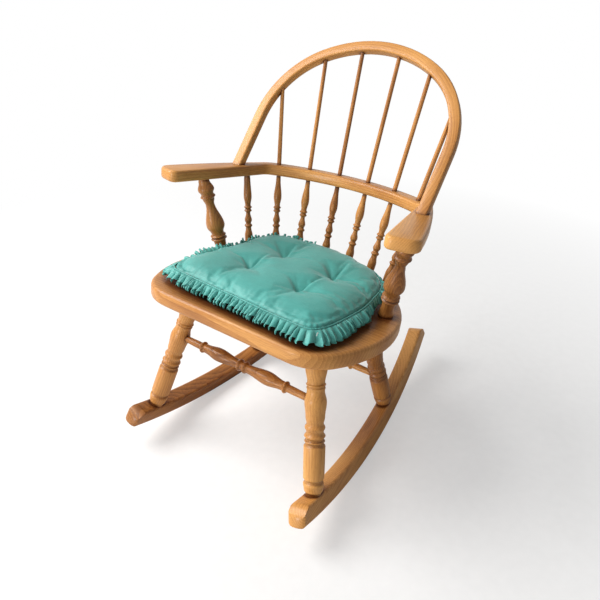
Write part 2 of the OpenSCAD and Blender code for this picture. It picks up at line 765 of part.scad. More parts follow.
module short_spindle(side) {
    l = norm(short_top_pt - short_seat_pt);
    stand()
        on_side(side)
            color(wood_turned)
                aim(short_seat_pt, short_top_pt)
                    turned(concat(spindle_stations(short_top_r),
                        [[l - 4, short_top_r, 0], [l + short_top_l, short_top_r, 0]]));
}

module short_spindle_left() { short_spindle(1); }
module short_spindle_right() { short_spindle(-1); }

// Arms and back rail

front_n = n2(180 - arm_front_slant);
front_d = front_n * [arm_in(-arm_front), -arm_front];
in_n = -n2(arm_in_angle);
in_d = in_n * in_start;
// Point where two straight edges, moved inwards by i, cross
function cross_at(na, da, nb, db, i) =
    let (det = na[0] * nb[1] - na[1] * nb[0], a = da - i, b = db - i)
    [(a * nb[1] - b * na[1]) / det, (na[0] * b - nb[0] * a) / det];
corner_in_c = cross_at(front_n, front_d, in_n, in_d, arm_corner_in);
// Middle of the outer front corner: on the front edge and on the outer arc, both moved in
corner_foot = front_n * (front_d - arm_corner_out);
corner_dir = [-front_n[1], front_n[0]];
corner_rel = corner_foot - out_c;
corner_half = corner_rel * corner_dir;
corner_run = -corner_half
    + sqrt(corner_half * corner_half - corner_rel * corner_rel + pow(arm_out_r - arm_corner_out, 2));
corner_out_c = corner_foot + corner_run * corner_dir;
corner_out_a = atan2(corner_out_c[0] - out_c[0], corner_out_c[1] - out_c[1]);

// Where an arm and the rail meet in the bend, and how far each is made past that place
joint_angle = 46;
joint_more = 24;

// An arm's edge, from the joint round the outside to the front and back along the inside;
// points that face each other across the arm are equally far from the two ends of the list
in_front = along2(corner_in_c, arm_corner_in, 180 + arm_in_angle);
arm_edge = concat(
    arc_pts(bend_out_c, bend_out_r, joint_angle - joint_more, arm_out_angle - 2, 7),
    arc_pts(out_c, arm_out_r, arm_out_angle, corner_out_a, 7),
    arc_pts(corner_out_c, arm_corner_out, corner_out_a + 12, 180 - arm_front_slant, 6),
    arc_pts(corner_in_c, arm_corner_in, 180 - arm_front_slant, 180 + arm_in_angle, 6),
    [for (i = [1 : 8])
        let (p = in_front + (in_start - in_front) * i / 9) [p[0], p[1], 180 + arm_in_angle]],
    hollow_pts(bend_in_c, bend_in_r, arm_in_angle, joint_angle - joint_more, 7)
);
// Corner points of a stick's section, w wide and t deep, as [depth inside its outer edge,
// height below its face], in order round the section
function stick_section(w, t, r) = [
    for (q = [0 : 3])
        for (a = [0 : 30 : 90])
            [(q == 0 || q == 3 ? w - r : r) + r * cos(a + 90 * q),
             (q < 2 ? -r : r - t) + r * sin(a + 90 * q)]
];
// Directions along the rail, from one joint to the other
rail_end = joint_angle + joint_more;
rail_steps = concat(
    [for (i = [0 : 6]) -rail_end + i * (rail_end - rail_in_angle) / 7],
    [for (i = [0 : 20]) rail_in_angle * (i / 10 - 1)],
    [for (i = [1 : 7]) rail_in_angle + i * (rail_end - rail_in_angle) / 7]
);
function half_turn(c, a) = [c[0] * sign(a), c[1]];
// A point of the rail in the direction a, at the depth i inside its back edge
function rail_xy(a, i) =
    i < rail_w / 2
        ? (abs(a) <= rail_half_angle
            ? along2(rail_c, rail_r + rail_w / 2 - i, a)
            : along2(half_turn(bend_out_c, a), bend_out_r - i, a))
        : (abs(a) <= rail_in_angle
            ? along2(rail_c, rail_r + rail_w / 2 - i, a)
            : along2(half_turn(bend_in_c, a), bend_in_r + rail_w - i, a));

module rail_board() {
    skin([
        for (a = rail_steps)
            [for (c = stick_section(rail_w, arm_t, arm_edge_r))
                let (p = rail_xy(a, c[0])) [p[0], p[1], arm_top + c[1]]]
    ]);
}

function reversed(v) = [for (i = [len(v) - 1 : -1 : 0]) v[i]];

module rounded_board(edge) {
    translate([0, 0, arm_bottom])
        skin([
            for (e = concat(low_edge(arm_edge_r), top_edge(arm_edge_r, arm_t)))
                inset_ring(edge, e[0], e[1])
        ]);
}

// A block on one side of the finger joint; its edge there has the fingers' zigzag.
// Side 1 is the arm's side and -1 the rail's.
finger_pitch = arm_t / finger_n;
module joint_block(side) {
    far = 45 * side;
    translate([bend_c[0], bend_c[1], 0])
        rotate([0, 0, -joint_angle])
            translate([0, bend_out_r + 20, 0])
                rotate([90, 0, 0])
                    linear_extrude(rail_w + 40)
                        polygon(concat(
                            [[far, arm_bottom - 2]],
                            [for (k = [0 : finger_n - 1])
                                each [[finger_l / 2, arm_bottom + (k == 0 ? -2 : k * finger_pitch)],
                                      [-finger_l / 2, arm_bottom + (k + 0.5) * finger_pitch]]],
                            [[finger_l / 2, arm_top + 2], [far, arm_top + 2]]
                        ));
}

bow_peg_pt = bow_pt(bow_foot_x, bow_depth / 2 * tan(bow_lean), bow_depth / 2);
bow_up_pt = bow_pt(bow_foot_x, bow_depth / 2 * tan(bow_lean) + 100, bow_depth / 2);

module arm_left() {
    stand()
        color(wood)
            difference() {
                rounded_board(arm_edge);
                joint_block(-1);
                aim(at(bow_peg_pt, bow_up_pt, 10), bow_peg_pt)
                    cylinder(h = 10 + bow_tenon_l + peg_end_gap, r = bow_tenon_r + peg_gap);
                aim(at(post_top_pt, post_seat_pt, 12), post_top_pt)
                    cylinder(h = 12 + post_tenon_top + peg_end_gap, r = post_tenon_r + peg_gap);
                aim(at(short_top_pt, short_seat_pt, 12), short_top_pt)
                    cylinder(h = 12 + short_top_l + peg_end_gap, r = short_top_r + peg_gap);
            }
}
module arm_right() {
    mirror([1, 0, 0])
        arm_left();
}

module back_rail() {
    stand()
        color(wood)
            difference() {
                rail_board();
                joint_block(1);
                mirror([1, 0, 0])
                    joint_block(1);
                for (side = [-1, 1])
                    on_side(side)
                        for (k = [0 : 2])
                            aim(at(rail_hit(k), seat_hit(k), arm_t + 12), rail_hit(k))
                                cylinder(h = arm_t + 24, r = spindle_stick_r + peg_gap);
            }
}

// Back bow

// Stations from the left foot to the middle of the crown: angle from the top, height left below
bow_steps = concat(
    [[90, shoulder_u + 30]],
    [for (i = [0 : 15]) [90 - i * (90 - bow_crown_angle) / 15, 0]],
    [for (i = [1 : 7]) [bow_crown_angle * (1 - i / 7.5), 0]]
);
function bow_ring(s, m) = [
    for (c = reversed(stick_section(bow_face, bow_depth, bow_edge_r)))
        let (p = bow_xu(s[0], c[0]))
            [m * p[0], p[1] - s[1], c[1]]
];

module bow_stick() {
    skin(concat(
        [for (s = bow_steps) bow_ring(s, 1)],
        [for (i = [len(bow_steps) - 1 : -1 : 0]) bow_ring(bow_steps[i], -1)]
    ));
}

module bow() {
    stand()
        color(wood_bent)
            union() {
                difference() {
                    in_bow_plane()
                        bow_stick();
                    below(arm_top);
                    for (side = [-1, 1])
                        on_side(side)
                            for (k = [0 : 2])
                                aim(at(bow_hit(k), rail_hit(k), spindle_top_l / 2 + 20), bow_hit(k))
                                    cylinder(h = spindle_top_l + 20 + peg_end_gap, r = spindle_top_r + peg_gap);
                }
                for (side = [-1, 1])
                    on_side(side)
                        aim(at(bow_peg_pt, bow_up_pt, 5), bow_peg_pt)
                            cylinder(h = 5 + bow_tenon_l, r = bow_tenon_r);
            }
}

// Cushion

cushion_half_w = seat_r - cushion_side_in;
cushion_back = seat_r - cushion_back_in;
cushion_front = seat_front - cushion_front_in;

// Left half of the seam's outline from the rear middle to the front middle, in shares
// of the cushion's own sizes; the rear runs parallel to the seat's round back
seam_half = concat(
    [for (a = [0, 12, 24]) [cushion_back * sin(a), cushion_back * cos(a)]],
    [[0.66 * cushion_half_w, 0.845 * cushion_back],
     [0.865 * cushion_half_w, 0.63 * cushion_back],
     [0.94 * cushion_half_w, 0.38 * cushion_back],
     [0.99 * cushion_half_w, 0.12 * cushion_back],
     [cushion_half_w, -0.25 * cushion_front],
     [0.985 * cushion_half_w, -0.70 * cushion_front],
     [0.91 * cushion_half_w, -0.95 * cushion_front],
     [0.72 * cushion_half_w, -cushion_front],
     [0.36 * cushion_half_w, -1.01 * cushion_front],
     [0, -cushion_front]]
);
seam_n = 2 * (len(seam_half) - 1);
seam_ctrl = concat(
    seam_half,
    [for (i = [len(seam_half) - 2 : -1 : 1]) [-seam_half[i][0], seam_half[i][1]]]
);
// A smooth closed curve through those points; t runs from 0 to seam_n
function seam_at(t) =
    let (i = floor(t), f = t - i,
         p0 = seam_ctrl[(i + seam_n - 1) % seam_n], p1 = seam_ctrl[i % seam_n],
         p2 = seam_ctrl[(i + 1) % seam_n], p3 = seam_ctrl[(i + 2) % seam_n])
    0.5 * (2 * p1 + (p2 - p0) * f + (2 * p0 - 5 * p1 + 4 * p2 - p3) * f * f
        + (3 * p1 - p0 - 3 * p2 + p3) * f * f * f);
// Its outward direction
function seam_out(t) =
    let (d = seam_at(t + 0.05) - seam_at(t - 0.05 + (t < 0.05 ? seam_n : 0)))
    [-d[1], d[0]] / norm(d);

cushion_mid = [0, (cushion_back - cushion_front) / 2];
tuft_pts = [
    for (x = [-1, 1])
        for (y = [-1, 1])
            let (c = cos(tuft_turn), s = sin(tuft_turn), u = x * tuft_half_x, v = y * tuft_half_y)
                [tuft_off_x + u * c - v * s, tuft_off_y + u * s + v * c]
];
function bell(d, w) = exp(-d * d / (w * w));
function tuft_drop(p) = tuft_depth * max([for (t = tuft_pts) bell(norm(p - t), 27)]);
function seam_up(p) = seam_h + rear_rise * ease(max(0, min(1, p[1] / cushion_back)));
// Height of the cushion's upper and lower skin at the share q of the way out to its seam
function skin_top(q, p) =
    seam_up(p) + crown_h * pow(max(0, 1 - pow(q, 3)), 0.55) - tuft_drop(p) * (1 - pow(q, 6));
function skin_low(q) =
    let (e = max(0, (q - 0.8) / 0.2)) soft_gap + (seam_h - soft_gap) * (1 - sqrt(max(0, 1 - e * e)));

skin_n = 72;
top_q = [1, 0.975, 0.92, 0.84, 0.74, 0.63, 0.52, 0.41, 0.3, 0.19, 0.09];
low_q = [0.35, 0.8, 0.93, 0.985];
function skin_ring(q) = [
    for (i = [0 : skin_n - 1]) cushion_mid + (seam_at(i * seam_n / skin_n) - cushion_mid) * q
];
skin_points = concat(
    [[cushion_mid[0], cushion_mid[1], soft_gap]],
    [for (q = low_q) for (p = skin_ring(q)) [p[0], p[1], skin_low(q)]],
    [for (q = top_q) for (p = skin_ring(q)) [p[0], p[1], skin_top(q, p)]],
    [[cushion_mid[0], cushion_mid[1], skin_top(0, cushion_mid)]]
);
skin_rows = len(low_q) + len(top_q);
function skin_id(r, i) = 1 + r * skin_n + i % skin_n;
skin_faces = concat(
    [for (i = [0 : skin_n - 1]) [0, skin_id(0, i + 1), skin_id(0, i)]],
    [for (r = [0 : skin_rows - 2])
        for (i = [0 : skin_n - 1])
            each [[skin_id(r, i), skin_id(r, i + 1), skin_id(r + 1, i)],
                  [skin_id(r, i + 1), skin_id(r + 1, i + 1), skin_id(r + 1, i)]]],
    [for (i = [0 : skin_n - 1])
        [skin_id(skin_rows - 1, i), skin_id(skin_rows - 1, i + 1), skin_rows * skin_n + 1]]
);

module on_seat() {
    stand()
        translate([0, 0, seat_top])
            rotate([0, 0, cushion_turn])
                children();
}

module cushion() {
    on_seat()
        color(cloth)
            polyhedron(points = skin_points, faces = skin_faces, convexity = 6);
}

// The frill runs from the rear left corner round the front, past the rear right corner
frill_t0 = 3.6;
frill_t1 = seam_n - 1.3;
frill_n = pleats * 6;
frill_low = 3;
// The frill keeps closer to the cushion beside the arm posts and the short spindles
function frill_room(y) =
    y > short_seat_pt[1] ? 0.4 : 1 - max(0.62 * bell(y - post_seat_pt[1], 2.4 * post_ring_r),
            0.60 * bell(y - short_seat_pt[1], 3.5 * spindle_base_r));
function frill_pt(k, h, w) =
    let (t = frill_t0 + (frill_t1 - frill_t0) * k / frill_n,
         p = seam_at(t),
         n = seam_out(t),
         wave = pleat_depth * (0.6 * cos(360 * k * pleats / frill_n)
             + 0.4 * cos(720 * k * pleats / frill_n + 70 * sin(k * 37))),
         out = frill_flare * h + wave * pow(h, 0.8) + 0.6 * pleat_depth * h,
         off = soft_gap + 0.2 + out * frill_room(p[1]) + w)
    [p[0] + n[0] * off, p[1] + n[1] * off, seam_up(p) + 0.5 - (seam_h + 0.5 - frill_low) * h];
// Three heights down the outside and back up the inside
frill_ring = [[0, frill_t], [0.45, frill_t], [1, frill_t], [1, 0], [0.45, 0], [0, 0]];

module cushion_frill() {
    on_seat()
        color(cloth_frill)
            skin([
                for (k = [0 : frill_n])
                    [for (r = frill_ring) frill_pt(k, r[0], r[1])]
            ]);
}

seat();
rocker_left();
rocker_right();
leg_front_left();
leg_front_right();
leg_rear_left();
leg_rear_right();
stretcher_front();
stretcher_rear();
arm_post_left();
arm_post_right();
short_spindle_left();
short_spindle_right();
arm_left();
arm_right();
back_rail();
bow();
long_spindle_1();
long_spindle_2();
long_spindle_3();
long_spindle_4();
long_spindle_5();
long_spindle_6();
cushion();
cushion_frill();
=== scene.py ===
# %% [markdown]
# # A spindle back rocking chair
# The wood of this chair was made in a CAD program, at its true size. This lesson dresses it:
# it gives every piece of wood a varnished finish, and sews the seat cushion, which a CAD
# program can only show as a stiff block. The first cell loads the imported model. All lengths
# in Blender are metres, X runs to the sitter's left, Y to the back and Z up.

import math
import random

import bpy
import numpy as np
from mathutils import Matrix, Vector


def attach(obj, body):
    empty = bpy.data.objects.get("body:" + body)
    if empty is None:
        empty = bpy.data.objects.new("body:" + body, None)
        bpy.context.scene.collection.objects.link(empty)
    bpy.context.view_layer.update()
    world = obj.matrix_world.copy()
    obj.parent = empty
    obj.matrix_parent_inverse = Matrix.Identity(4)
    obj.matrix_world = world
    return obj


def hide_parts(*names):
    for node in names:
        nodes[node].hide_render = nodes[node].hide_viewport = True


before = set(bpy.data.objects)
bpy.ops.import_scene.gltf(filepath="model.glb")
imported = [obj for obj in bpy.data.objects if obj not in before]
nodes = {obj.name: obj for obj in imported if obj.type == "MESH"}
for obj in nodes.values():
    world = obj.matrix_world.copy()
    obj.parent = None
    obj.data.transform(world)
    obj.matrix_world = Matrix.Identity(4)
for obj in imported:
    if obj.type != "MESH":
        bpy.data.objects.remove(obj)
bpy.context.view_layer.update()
print("pieces of the chair:", len(nodes))

# %% [markdown]
# ## A ruler for the leaning chair
# A rocking chair at rest leans back a little. Cushion and seams are easier to think of on a
# level seat, so one function turns a place on the level seat, in millimetres, into a place
# in the scene. A place is measured from the seat's middle, and its height from the floor
# under the upright chair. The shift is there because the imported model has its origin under
# the middle of its own box.

# %% The seat's own ruler
LEAN = math.radians(9.5)
SEAT_TOP = 396.0
SHIFT_Y, SHIFT_Z = -175.91, 16.612


def lean_back(x, y, z):
    """Turns a direction or place on the level chair as the resting chair leans."""
    return Vector((x, y * math.cos(LEAN) + z * math.sin(LEAN), z * math.cos(LEAN) - y * math.sin(LEAN)))


def on_chair(x, y, z):
    """A place on the level chair, in millimetres, as a place in the scene."""
    return (lean_back(x, y, z) + Vector((0, SHIFT_Y, SHIFT_Z))) / 1000


def above_seat(x, y, up):
    return on_chair(x, y, SEAT_TOP + up)


print("middle of the seat:", [round(c, 3) for c in above_seat(0, 0, 0)])

# %% [markdown]
# ## The camera
# The photograph was taken from in front of the chair's left arm, from above the arms. A
# camera object looks along its own -Z axis, so its matrix is built from three directions: to the
# right, up, and backwards. The place of the eye and the directions were found by fitting
# the model's rings, rims and rockers to the photograph, and so was the lens.

# %% Set up the camera
SENSOR_MM, LENS_MM = 36.0, 33.88
FARTHEST = 50.0
eye = on_chair(660.9, -970.6, 915.6)
look = lean_back(-0.47740, 0.77599, -0.41222)
right = lean_back(0.81821, 0.56362, 0.11341)
up = right.cross(look)

camera_data = bpy.data.cameras.new("camera")
camera_data.sensor_width = SENSOR_MM
camera_data.lens = LENS_MM
camera_data.clip_end = FARTHEST
camera = bpy.data.objects.new("camera", camera_data)
bpy.context.scene.collection.objects.link(camera)
camera.matrix_world = Matrix((
    (right.x, up.x, -look.x, eye.x),
    (right.y, up.y, -look.y, eye.y),
    (right.z, up.z, -look.z, eye.z),
    (0, 0, 0, 1),
))
bpy.context.scene.camera = camera
print("camera height:", round(eye.z, 3))

# %% [markdown]
# ## Small helpers for materials
# Every finish here is made of nodes: small boxes that are wired together. Writing each one
# out takes four lines, so one helper adds a node, sets its switches, and fills or wires its
# inputs. The others use it to do a sum, stretch a place, carry one range of numbers over to
# another, mix two colours, and turn a number into a colour.

# %% Helpers that add nodes
def add(tree, kind, inputs=None, **switches):
    made = tree.nodes.new(kind)
    for name, value in switches.items():
        setattr(made, name, value)
    for name, value in (inputs or {}).items():
        if isinstance(value, bpy.types.NodeSocket):
            tree.links.new(value, made.inputs[name])
        else:
            made.inputs[name].default_value = value
    return made


def maths(tree, how, a, b=0.0, c=0.0):
    return add(tree, "ShaderNodeMath", {0: a, 1: b, 2: c}, operation=how).outputs[0]


def stretch(tree, vector, scale):
    return add(tree, "ShaderNodeVectorMath", {0: vector, 1: scale}, operation="MULTIPLY").outputs[0]


def slope(tree, value, low, high, to_low=0.0, to_high=1.0):
    """Maps value from low..high to to_low..to_high, and holds it there outside."""
    return add(tree, "ShaderNodeMapRange", {
        "Value": value, "From Min": low, "From Max": high, "To Min": to_low, "To Max": to_high,
    }).outputs[0]


def mixed(tree, how, factor, a, b):
    made = tree.nodes.new("ShaderNodeMix")
    made.data_type = "RGBA"
    made.blend_type = how
    for socket, value in ((made.inputs[0], factor), (made.inputs[6], a), (made.inputs[7], b)):
        if isinstance(value, bpy.types.NodeSocket):
            tree.links.new(value, socket)
        else:
            socket.default_value = value
    return made.outputs[2]


def ramp(tree, value, stops):
    made = add(tree, "ShaderNodeValToRGB", {0: value})
    marks = made.color_ramp.elements
    while len(marks) < len(stops):
        marks.new(0.5)
    for mark, (place, colour) in zip(marks, stops):
        mark.position = place
        mark.color = (*colour, 1.0)
    return made.outputs[0]


print("helpers for nodes:", [f.__name__ for f in (add, maths, stretch, slope, mixed, ramp)])

# %% [markdown]
# ## A place in the tree
# Wood grows in rings round a pith. A board or a turned leg cuts through these rings, and so
# shows long lines along its length, which bend into ovals where a leg swells. The same thing
# happens here: rings are drawn in space round a line beside the piece, and the surface cuts
# through them. A picture of wood would be quicker, but it would not bend into ovals, and it
# would repeat from piece to piece. The first step turns a place on the chair into a place
# in the tree, with Z along the grain. On a bent stick the grain follows the bend, so the
# run along the arc becomes Z. Each piece is cut from another place along the trunk.

# %% Find a place in the tree
CUT_APART = 3.7


def place_in_tree(tree, centre, along, number, pith, bend):
    """Grain along a direction, or round an axis through the centre at the radius bend."""
    turn = Vector(along).to_track_quat("Z", "X").to_euler()
    place = add(tree, "ShaderNodeMapping", {
        "Vector": add(tree, "ShaderNodeTexCoord").outputs["Object"],
        "Location": tuple(centre), "Rotation": turn,
    }, vector_type="TEXTURE").outputs[0]
    if bend:
        x, y, z = add(tree, "ShaderNodeSeparateXYZ", {0: place}).outputs
        squares = maths(tree, "MULTIPLY_ADD", x, x, maths(tree, "MULTIPLY", y, y))
        from_arc = maths(tree, "SUBTRACT", maths(tree, "SQRT", squares), bend)
        run = maths(tree, "MULTIPLY", maths(tree, "ARCTAN2", x, y), bend)
        place = add(tree, "ShaderNodeCombineXYZ", {0: from_arc, 1: z, 2: run}).outputs[0]
    start = (pith[0], pith[1], CUT_APART * number)
    return add(tree, "ShaderNodeVectorMath", {0: place, 1: start}).outputs[0]


print("metres between two cuts from the trunk:", CUT_APART)

# %% [markdown]
# ## The figure of the wood
# Four things make the figure: yearly rings that wander a little, fine fibres and short dark
# pores that run along the grain, and slow patches where the stain took more or less. All but
# the rings are noise that is squeezed across the grain and left long beside it. The three
# numbers of each squeeze say how often the noise changes in a metre, across and along. A
# wave texture at scale 1 repeats after 0.314 m, so its scale is that over the wanted width.

# %% Rings, fibres, pores and patches
WANDER, WANDER_BY = (14, 14, 2.6), (0.022, 0.022, 0.0)
RING_SQUEEZE = (1, 1, 0.04)
FIBRE_SQUEEZE = (900, 900, 16)
PORE_SQUEEZE = (1300, 1300, 55)
PATCH_SQUEEZE = (9, 9, 3.5)
ONE_WAVE = 0.314


def grain_noise(tree, place, squeeze, detail, rough=0.5):
    return add(tree, "ShaderNodeTexNoise", {
        "Vector": stretch(tree, place, squeeze), "Scale": 1.0, "Detail": detail, "Roughness": rough})


def wood_figure(tree, place, ring):
    """The four parts of the figure; ring is the width of one year's growth in metres."""
    drift = grain_noise(tree, place, WANDER, 2.0, 0.55).outputs["Color"]
    drifted = add(tree, "ShaderNodeVectorMath", {0: drift, 1: WANDER_BY, 2: place},
                  operation="MULTIPLY_ADD").outputs[0]
    rings = add(tree, "ShaderNodeTexWave", {
        "Vector": stretch(tree, drifted, RING_SQUEEZE), "Scale": ONE_WAVE / ring,
        "Distortion": 2.6, "Detail": 3.0, "Detail Scale": 0.5,
    }, wave_type="RINGS", rings_direction="Z", wave_profile="SAW").outputs["Fac"]
    fibres = grain_noise(tree, place, FIBRE_SQUEEZE, 3.0, 0.6).outputs["Fac"]
    pores = grain_noise(tree, place, PORE_SQUEEZE, 1.0).outputs["Fac"]
    patches = grain_noise(tree, place, PATCH_SQUEEZE, 3.0).outputs["Fac"]
    return rings, fibres, pores, patches


print("fibres in a centimetre, across:", FIBRE_SQUEEZE[0] // 100)

# %% [markdown]
# ## Stain and varnish
# The figure decides how much stain shows, from golden to dark brown. Nooks are darkened by
# how little of the sky a point can see: in the turned grooves this is partly stain that
# pools there and partly painted shade, between parts it is painted shade, and on the seat
# round the cushion it is the cushion's painted shadow. The varnish is a thin clear coat over
# wood that is rubbed smoother in some places than in others. A bevel in the shader rounds
# the sharp edges, so they catch the light as sanded edges do.

# %% The wood finish
LIGHT_STAIN = (0.66, 0.330, 0.095)
MIDDLE_STAIN = (0.400, 0.165, 0.042)
DARK_STAIN = (0.110, 0.034, 0.010)
PORE_TINT = (0.40, 0.25, 0.16, 1)
# The next tint darkens nooks: stain pooled in the turned grooves, and painted shade.
GRIME_AND_SHADE_TINT = (0.20, 0.10, 0.055, 1)
TONE, TONE_BY_LIGHT = 0.56, 0.45
RINGS_SHOW, FIBRES_SHOW, PATCHES_SHOW = -0.20, 0.60, 1.30
PORE_FROM, PORE_TO, PORE_DARK = 0.60, 0.72, 0.45
GRIME_AND_SHADE_FULL, GRIME_AND_SHADE_NONE, GRIME_AND_SHADE_DARK = 0.62, 0.97, 0.92
RUBBED, RUBBED_BY = 0.30, 0.22
GROOVE_REACH = 0.010
SANDED_EDGE = 0.0012


def about_zero(tree, value):
    return maths(tree, "SUBTRACT", value, 0.5)


def wood_colour(tree, figure, light, grime_and_shade_reach):
    """The stained colour, darkened in nooks by stain that pools there and by painted shade; the last
    argument is how far that darkening reaches, in metres.
    """
    rings, fibres, pores, patches = figure
    tone = maths(tree, "MULTIPLY_ADD", rings, RINGS_SHOW, TONE + TONE_BY_LIGHT * (light - 1))
    tone = maths(tree, "MULTIPLY_ADD", about_zero(tree, fibres), FIBRES_SHOW, tone)
    tone = maths(tree, "MULTIPLY_ADD", about_zero(tree, patches), PATCHES_SHOW, tone)
    colour = ramp(tree, tone, [(0.0, DARK_STAIN), (0.42, MIDDLE_STAIN), (0.85, LIGHT_STAIN)])
    dashes = slope(tree, pores, PORE_FROM, PORE_TO)
    colour = mixed(tree, "MULTIPLY", maths(tree, "MULTIPLY", dashes, PORE_DARK), colour, PORE_TINT)
    # Painted shade: the less sky a point sees, the darker it is made, with some real pooled stain in the
    # grooves.
    nook = add(tree, "ShaderNodeAmbientOcclusion", {"Distance": grime_and_shade_reach}, samples=8).outputs["AO"]
    grime_and_shade = maths(tree, "MULTIPLY", slope(tree, nook, GRIME_AND_SHADE_FULL, GRIME_AND_SHADE_NONE, 1.0, 0.0), GRIME_AND_SHADE_DARK)
    return mixed(tree, "MULTIPLY", grime_and_shade, colour, GRIME_AND_SHADE_TINT), dashes


def varnished_wood(name, centre, along, number, light, ring, pith, bend=0.0, grime_and_shade_reach=GROOVE_REACH):
    material = bpy.data.materials.new(name)
    material.use_nodes = True
    tree = material.node_tree
    surface = tree.nodes["Principled BSDF"]
    place = place_in_tree(tree, centre, along, number, pith, bend)
    figure = wood_figure(tree, place, ring)
    fibres, patches = figure[1], figure[3]
    colour, dashes = wood_colour(tree, figure, light, grime_and_shade_reach)
    tree.links.new(colour, surface.inputs["Base Color"])
    rubbed = maths(tree, "MULTIPLY_ADD", patches, RUBBED_BY, RUBBED)
    tree.links.new(rubbed, surface.inputs["Roughness"])
    surface.inputs["Specular IOR Level"].default_value = 0.2
    surface.inputs["Coat Weight"].default_value = 0.14
    surface.inputs["Coat Roughness"].default_value = 0.16
    relief = maths(tree, "MULTIPLY_ADD", dashes, -0.6, fibres)
    soft_edge = add(tree, "ShaderNodeBevel", {"Radius": SANDED_EDGE}, samples=4).outputs[0]
    bump = add(tree, "ShaderNodeBump", {
        "Strength": 0.16, "Distance": 0.0006, "Height": relief, "Normal": soft_edge}).outputs[0]
    tree.links.new(bump, surface.inputs["Normal"])
    return material


print("stains:", LIGHT_STAIN, MIDDLE_STAIN, DARK_STAIN)

# %% [markdown]
# ## Which way the grain runs
# A turned piece is cut from a straight blank, so its grain runs along its own axis. That
# axis is found from the mesh itself: it is the direction in which the points are spread
# most. The bow and the back rail are bent sticks, so their grain follows the bend, round an
# axis through the middle of the bend. A rocker and an arm are sawn, and their grain is
# straight. The seat is one wide board whose grain runs from side to side.

# %% Find the grain of each piece
def spread(name):
    """The middle of a node's points and the direction in which they are spread most."""
    points = np.array([v.co for v in nodes[name].data.vertices], float)
    middle = points.mean(0)
    way = np.linalg.eigh(np.cov((points - middle).T))[1][:, -1]
    return middle, way * (1 if way[2] >= 0 else -1)


BOW_LEAN = math.radians(32.8)
BOW_FOOT_Y, BOW_FOOT_Z, BOW_CENTRE_UP = 125.6, 623, 116.7
BOW_RADIUS, RAIL_RADIUS = 0.255, 0.42
bow_centre = on_chair(0, BOW_FOOT_Y + BOW_CENTRE_UP * math.sin(BOW_LEAN),
                      BOW_FOOT_Z + BOW_CENTRE_UP * math.cos(BOW_LEAN))
bow_axis = lean_back(0, -math.cos(BOW_LEAN), math.sin(BOW_LEAN))
rail_centre, rail_axis = on_chair(0, -133, 610), lean_back(0, 0, 1)
BENT = {"bow": (bow_centre, bow_axis, BOW_RADIUS), "back_rail": (rail_centre, rail_axis, RAIL_RADIUS)}
print("middle of the bow's bend:", [round(c, 3) for c in bow_centre])

# %% [markdown]
# ## Every piece its own wood
# No two blanks are alike, so each piece gets its own place in the tree, its own distance
# from the pith and its own paleness. The paleness of the pieces that stand out in the
# photograph is chosen, and the rest is left to chance. The right rocker's low value is
# painted shade, not a darker wood.

# %% Give each wooden piece its finish
PALENESS_AND_SHADE = {
    "bow": 1.3, "arm_left": 1.6, "arm_right": 1.15, "back_rail": 1.3, "seat": 1.0,
    # The right rocker's 0.5 is painted shade.
    "rocker_left": 1.3, "rocker_right": 0.5, "leg_front_left": 2.0, "leg_front_right": 1.25,
}
BENT_RING, SEAT_RING, TURNED_RING = 0.005, 0.008, 0.0045
# The seat's nook darkening reaches 80 mm, which paints the cushion's shadow on the seat round it.
SEAT_PITH, SHADOW_UNDER_CUSHION = (0.06, 0.03), 0.080
shuffle = random.Random(8)
for number, name in enumerate(sorted(n for n in nodes if not n.startswith("cushion"))):
    pith = (shuffle.uniform(0.02, 0.05), shuffle.uniform(-0.04, 0.04))
    light = PALENESS_AND_SHADE.get(name, shuffle.uniform(0.8, 1.1))
    if name in BENT:
        centre, axis, radius = BENT[name]
        finish = varnished_wood(name + "_wood", centre, axis, number, light, BENT_RING, pith, radius)
    elif name == "seat":
        finish = varnished_wood("seat_wood", above_seat(0, 0, 0), (1, 0, 0), number, light,
                                SEAT_RING, SEAT_PITH, grime_and_shade_reach=SHADOW_UNDER_CUSHION)
    else:
        middle, way = spread(name)
        finish = varnished_wood(name + "_wood", middle, way, number, light, TURNED_RING, pith)
    nodes[name].data.materials.clear()
    nodes[name].data.materials.append(finish)
print("finished wooden pieces:", number + 1)

# %% [markdown]
# ## Smooth shading for the CAD pieces
# A CAD model comes as flat facets. Their points are not moved here. Two modifiers do the
# work when the picture is made: Weld joins the facets' shared points, and Edge Split
# parts them again only where two facets meet at a sharp angle. With smooth shading, curved
# faces then look round, and real edges stay crisp.

# %% Shade the facets smoothly
SHARP = math.radians(38)
SAME_PLACE = 0.00002


def smooth_faces(thing):
    thing.data.polygons.foreach_set("use_smooth", [True] * len(thing.data.polygons))


def shade_smooth(thing):
    """Drops the flat normals that the CAD file brings, and smooths between sharp edges."""
    given = thing.data.attributes.get("custom_normal")
    if given:
        thing.data.attributes.remove(given)
    smooth_faces(thing)
    thing.modifiers.new("join facets", "WELD").merge_threshold = SAME_PLACE
    split = thing.modifiers.new("keep sharp edges", "EDGE_SPLIT")
    split.split_angle = SHARP
    split.use_edge_sharp = False


for name, thing in nodes.items():
    if not name.startswith("cushion"):
        shade_smooth(thing)
print("smooth pieces:", sum(1 for t in nodes.values() if t.modifiers))

# %% [markdown]
# ## The cushion's cloth
# The cover is a plain satin cotton in teal green. Cotton scatters light softly and shines a
# little where it is seen at a flat angle, which the sheen of the shader does. The weave is
# two crossed sets of fine waves in the bump, and slow noise makes the colour uneven, as
# pressed and faded cloth is. Folds that see little sky are tinted darker, which is painted
# shade.

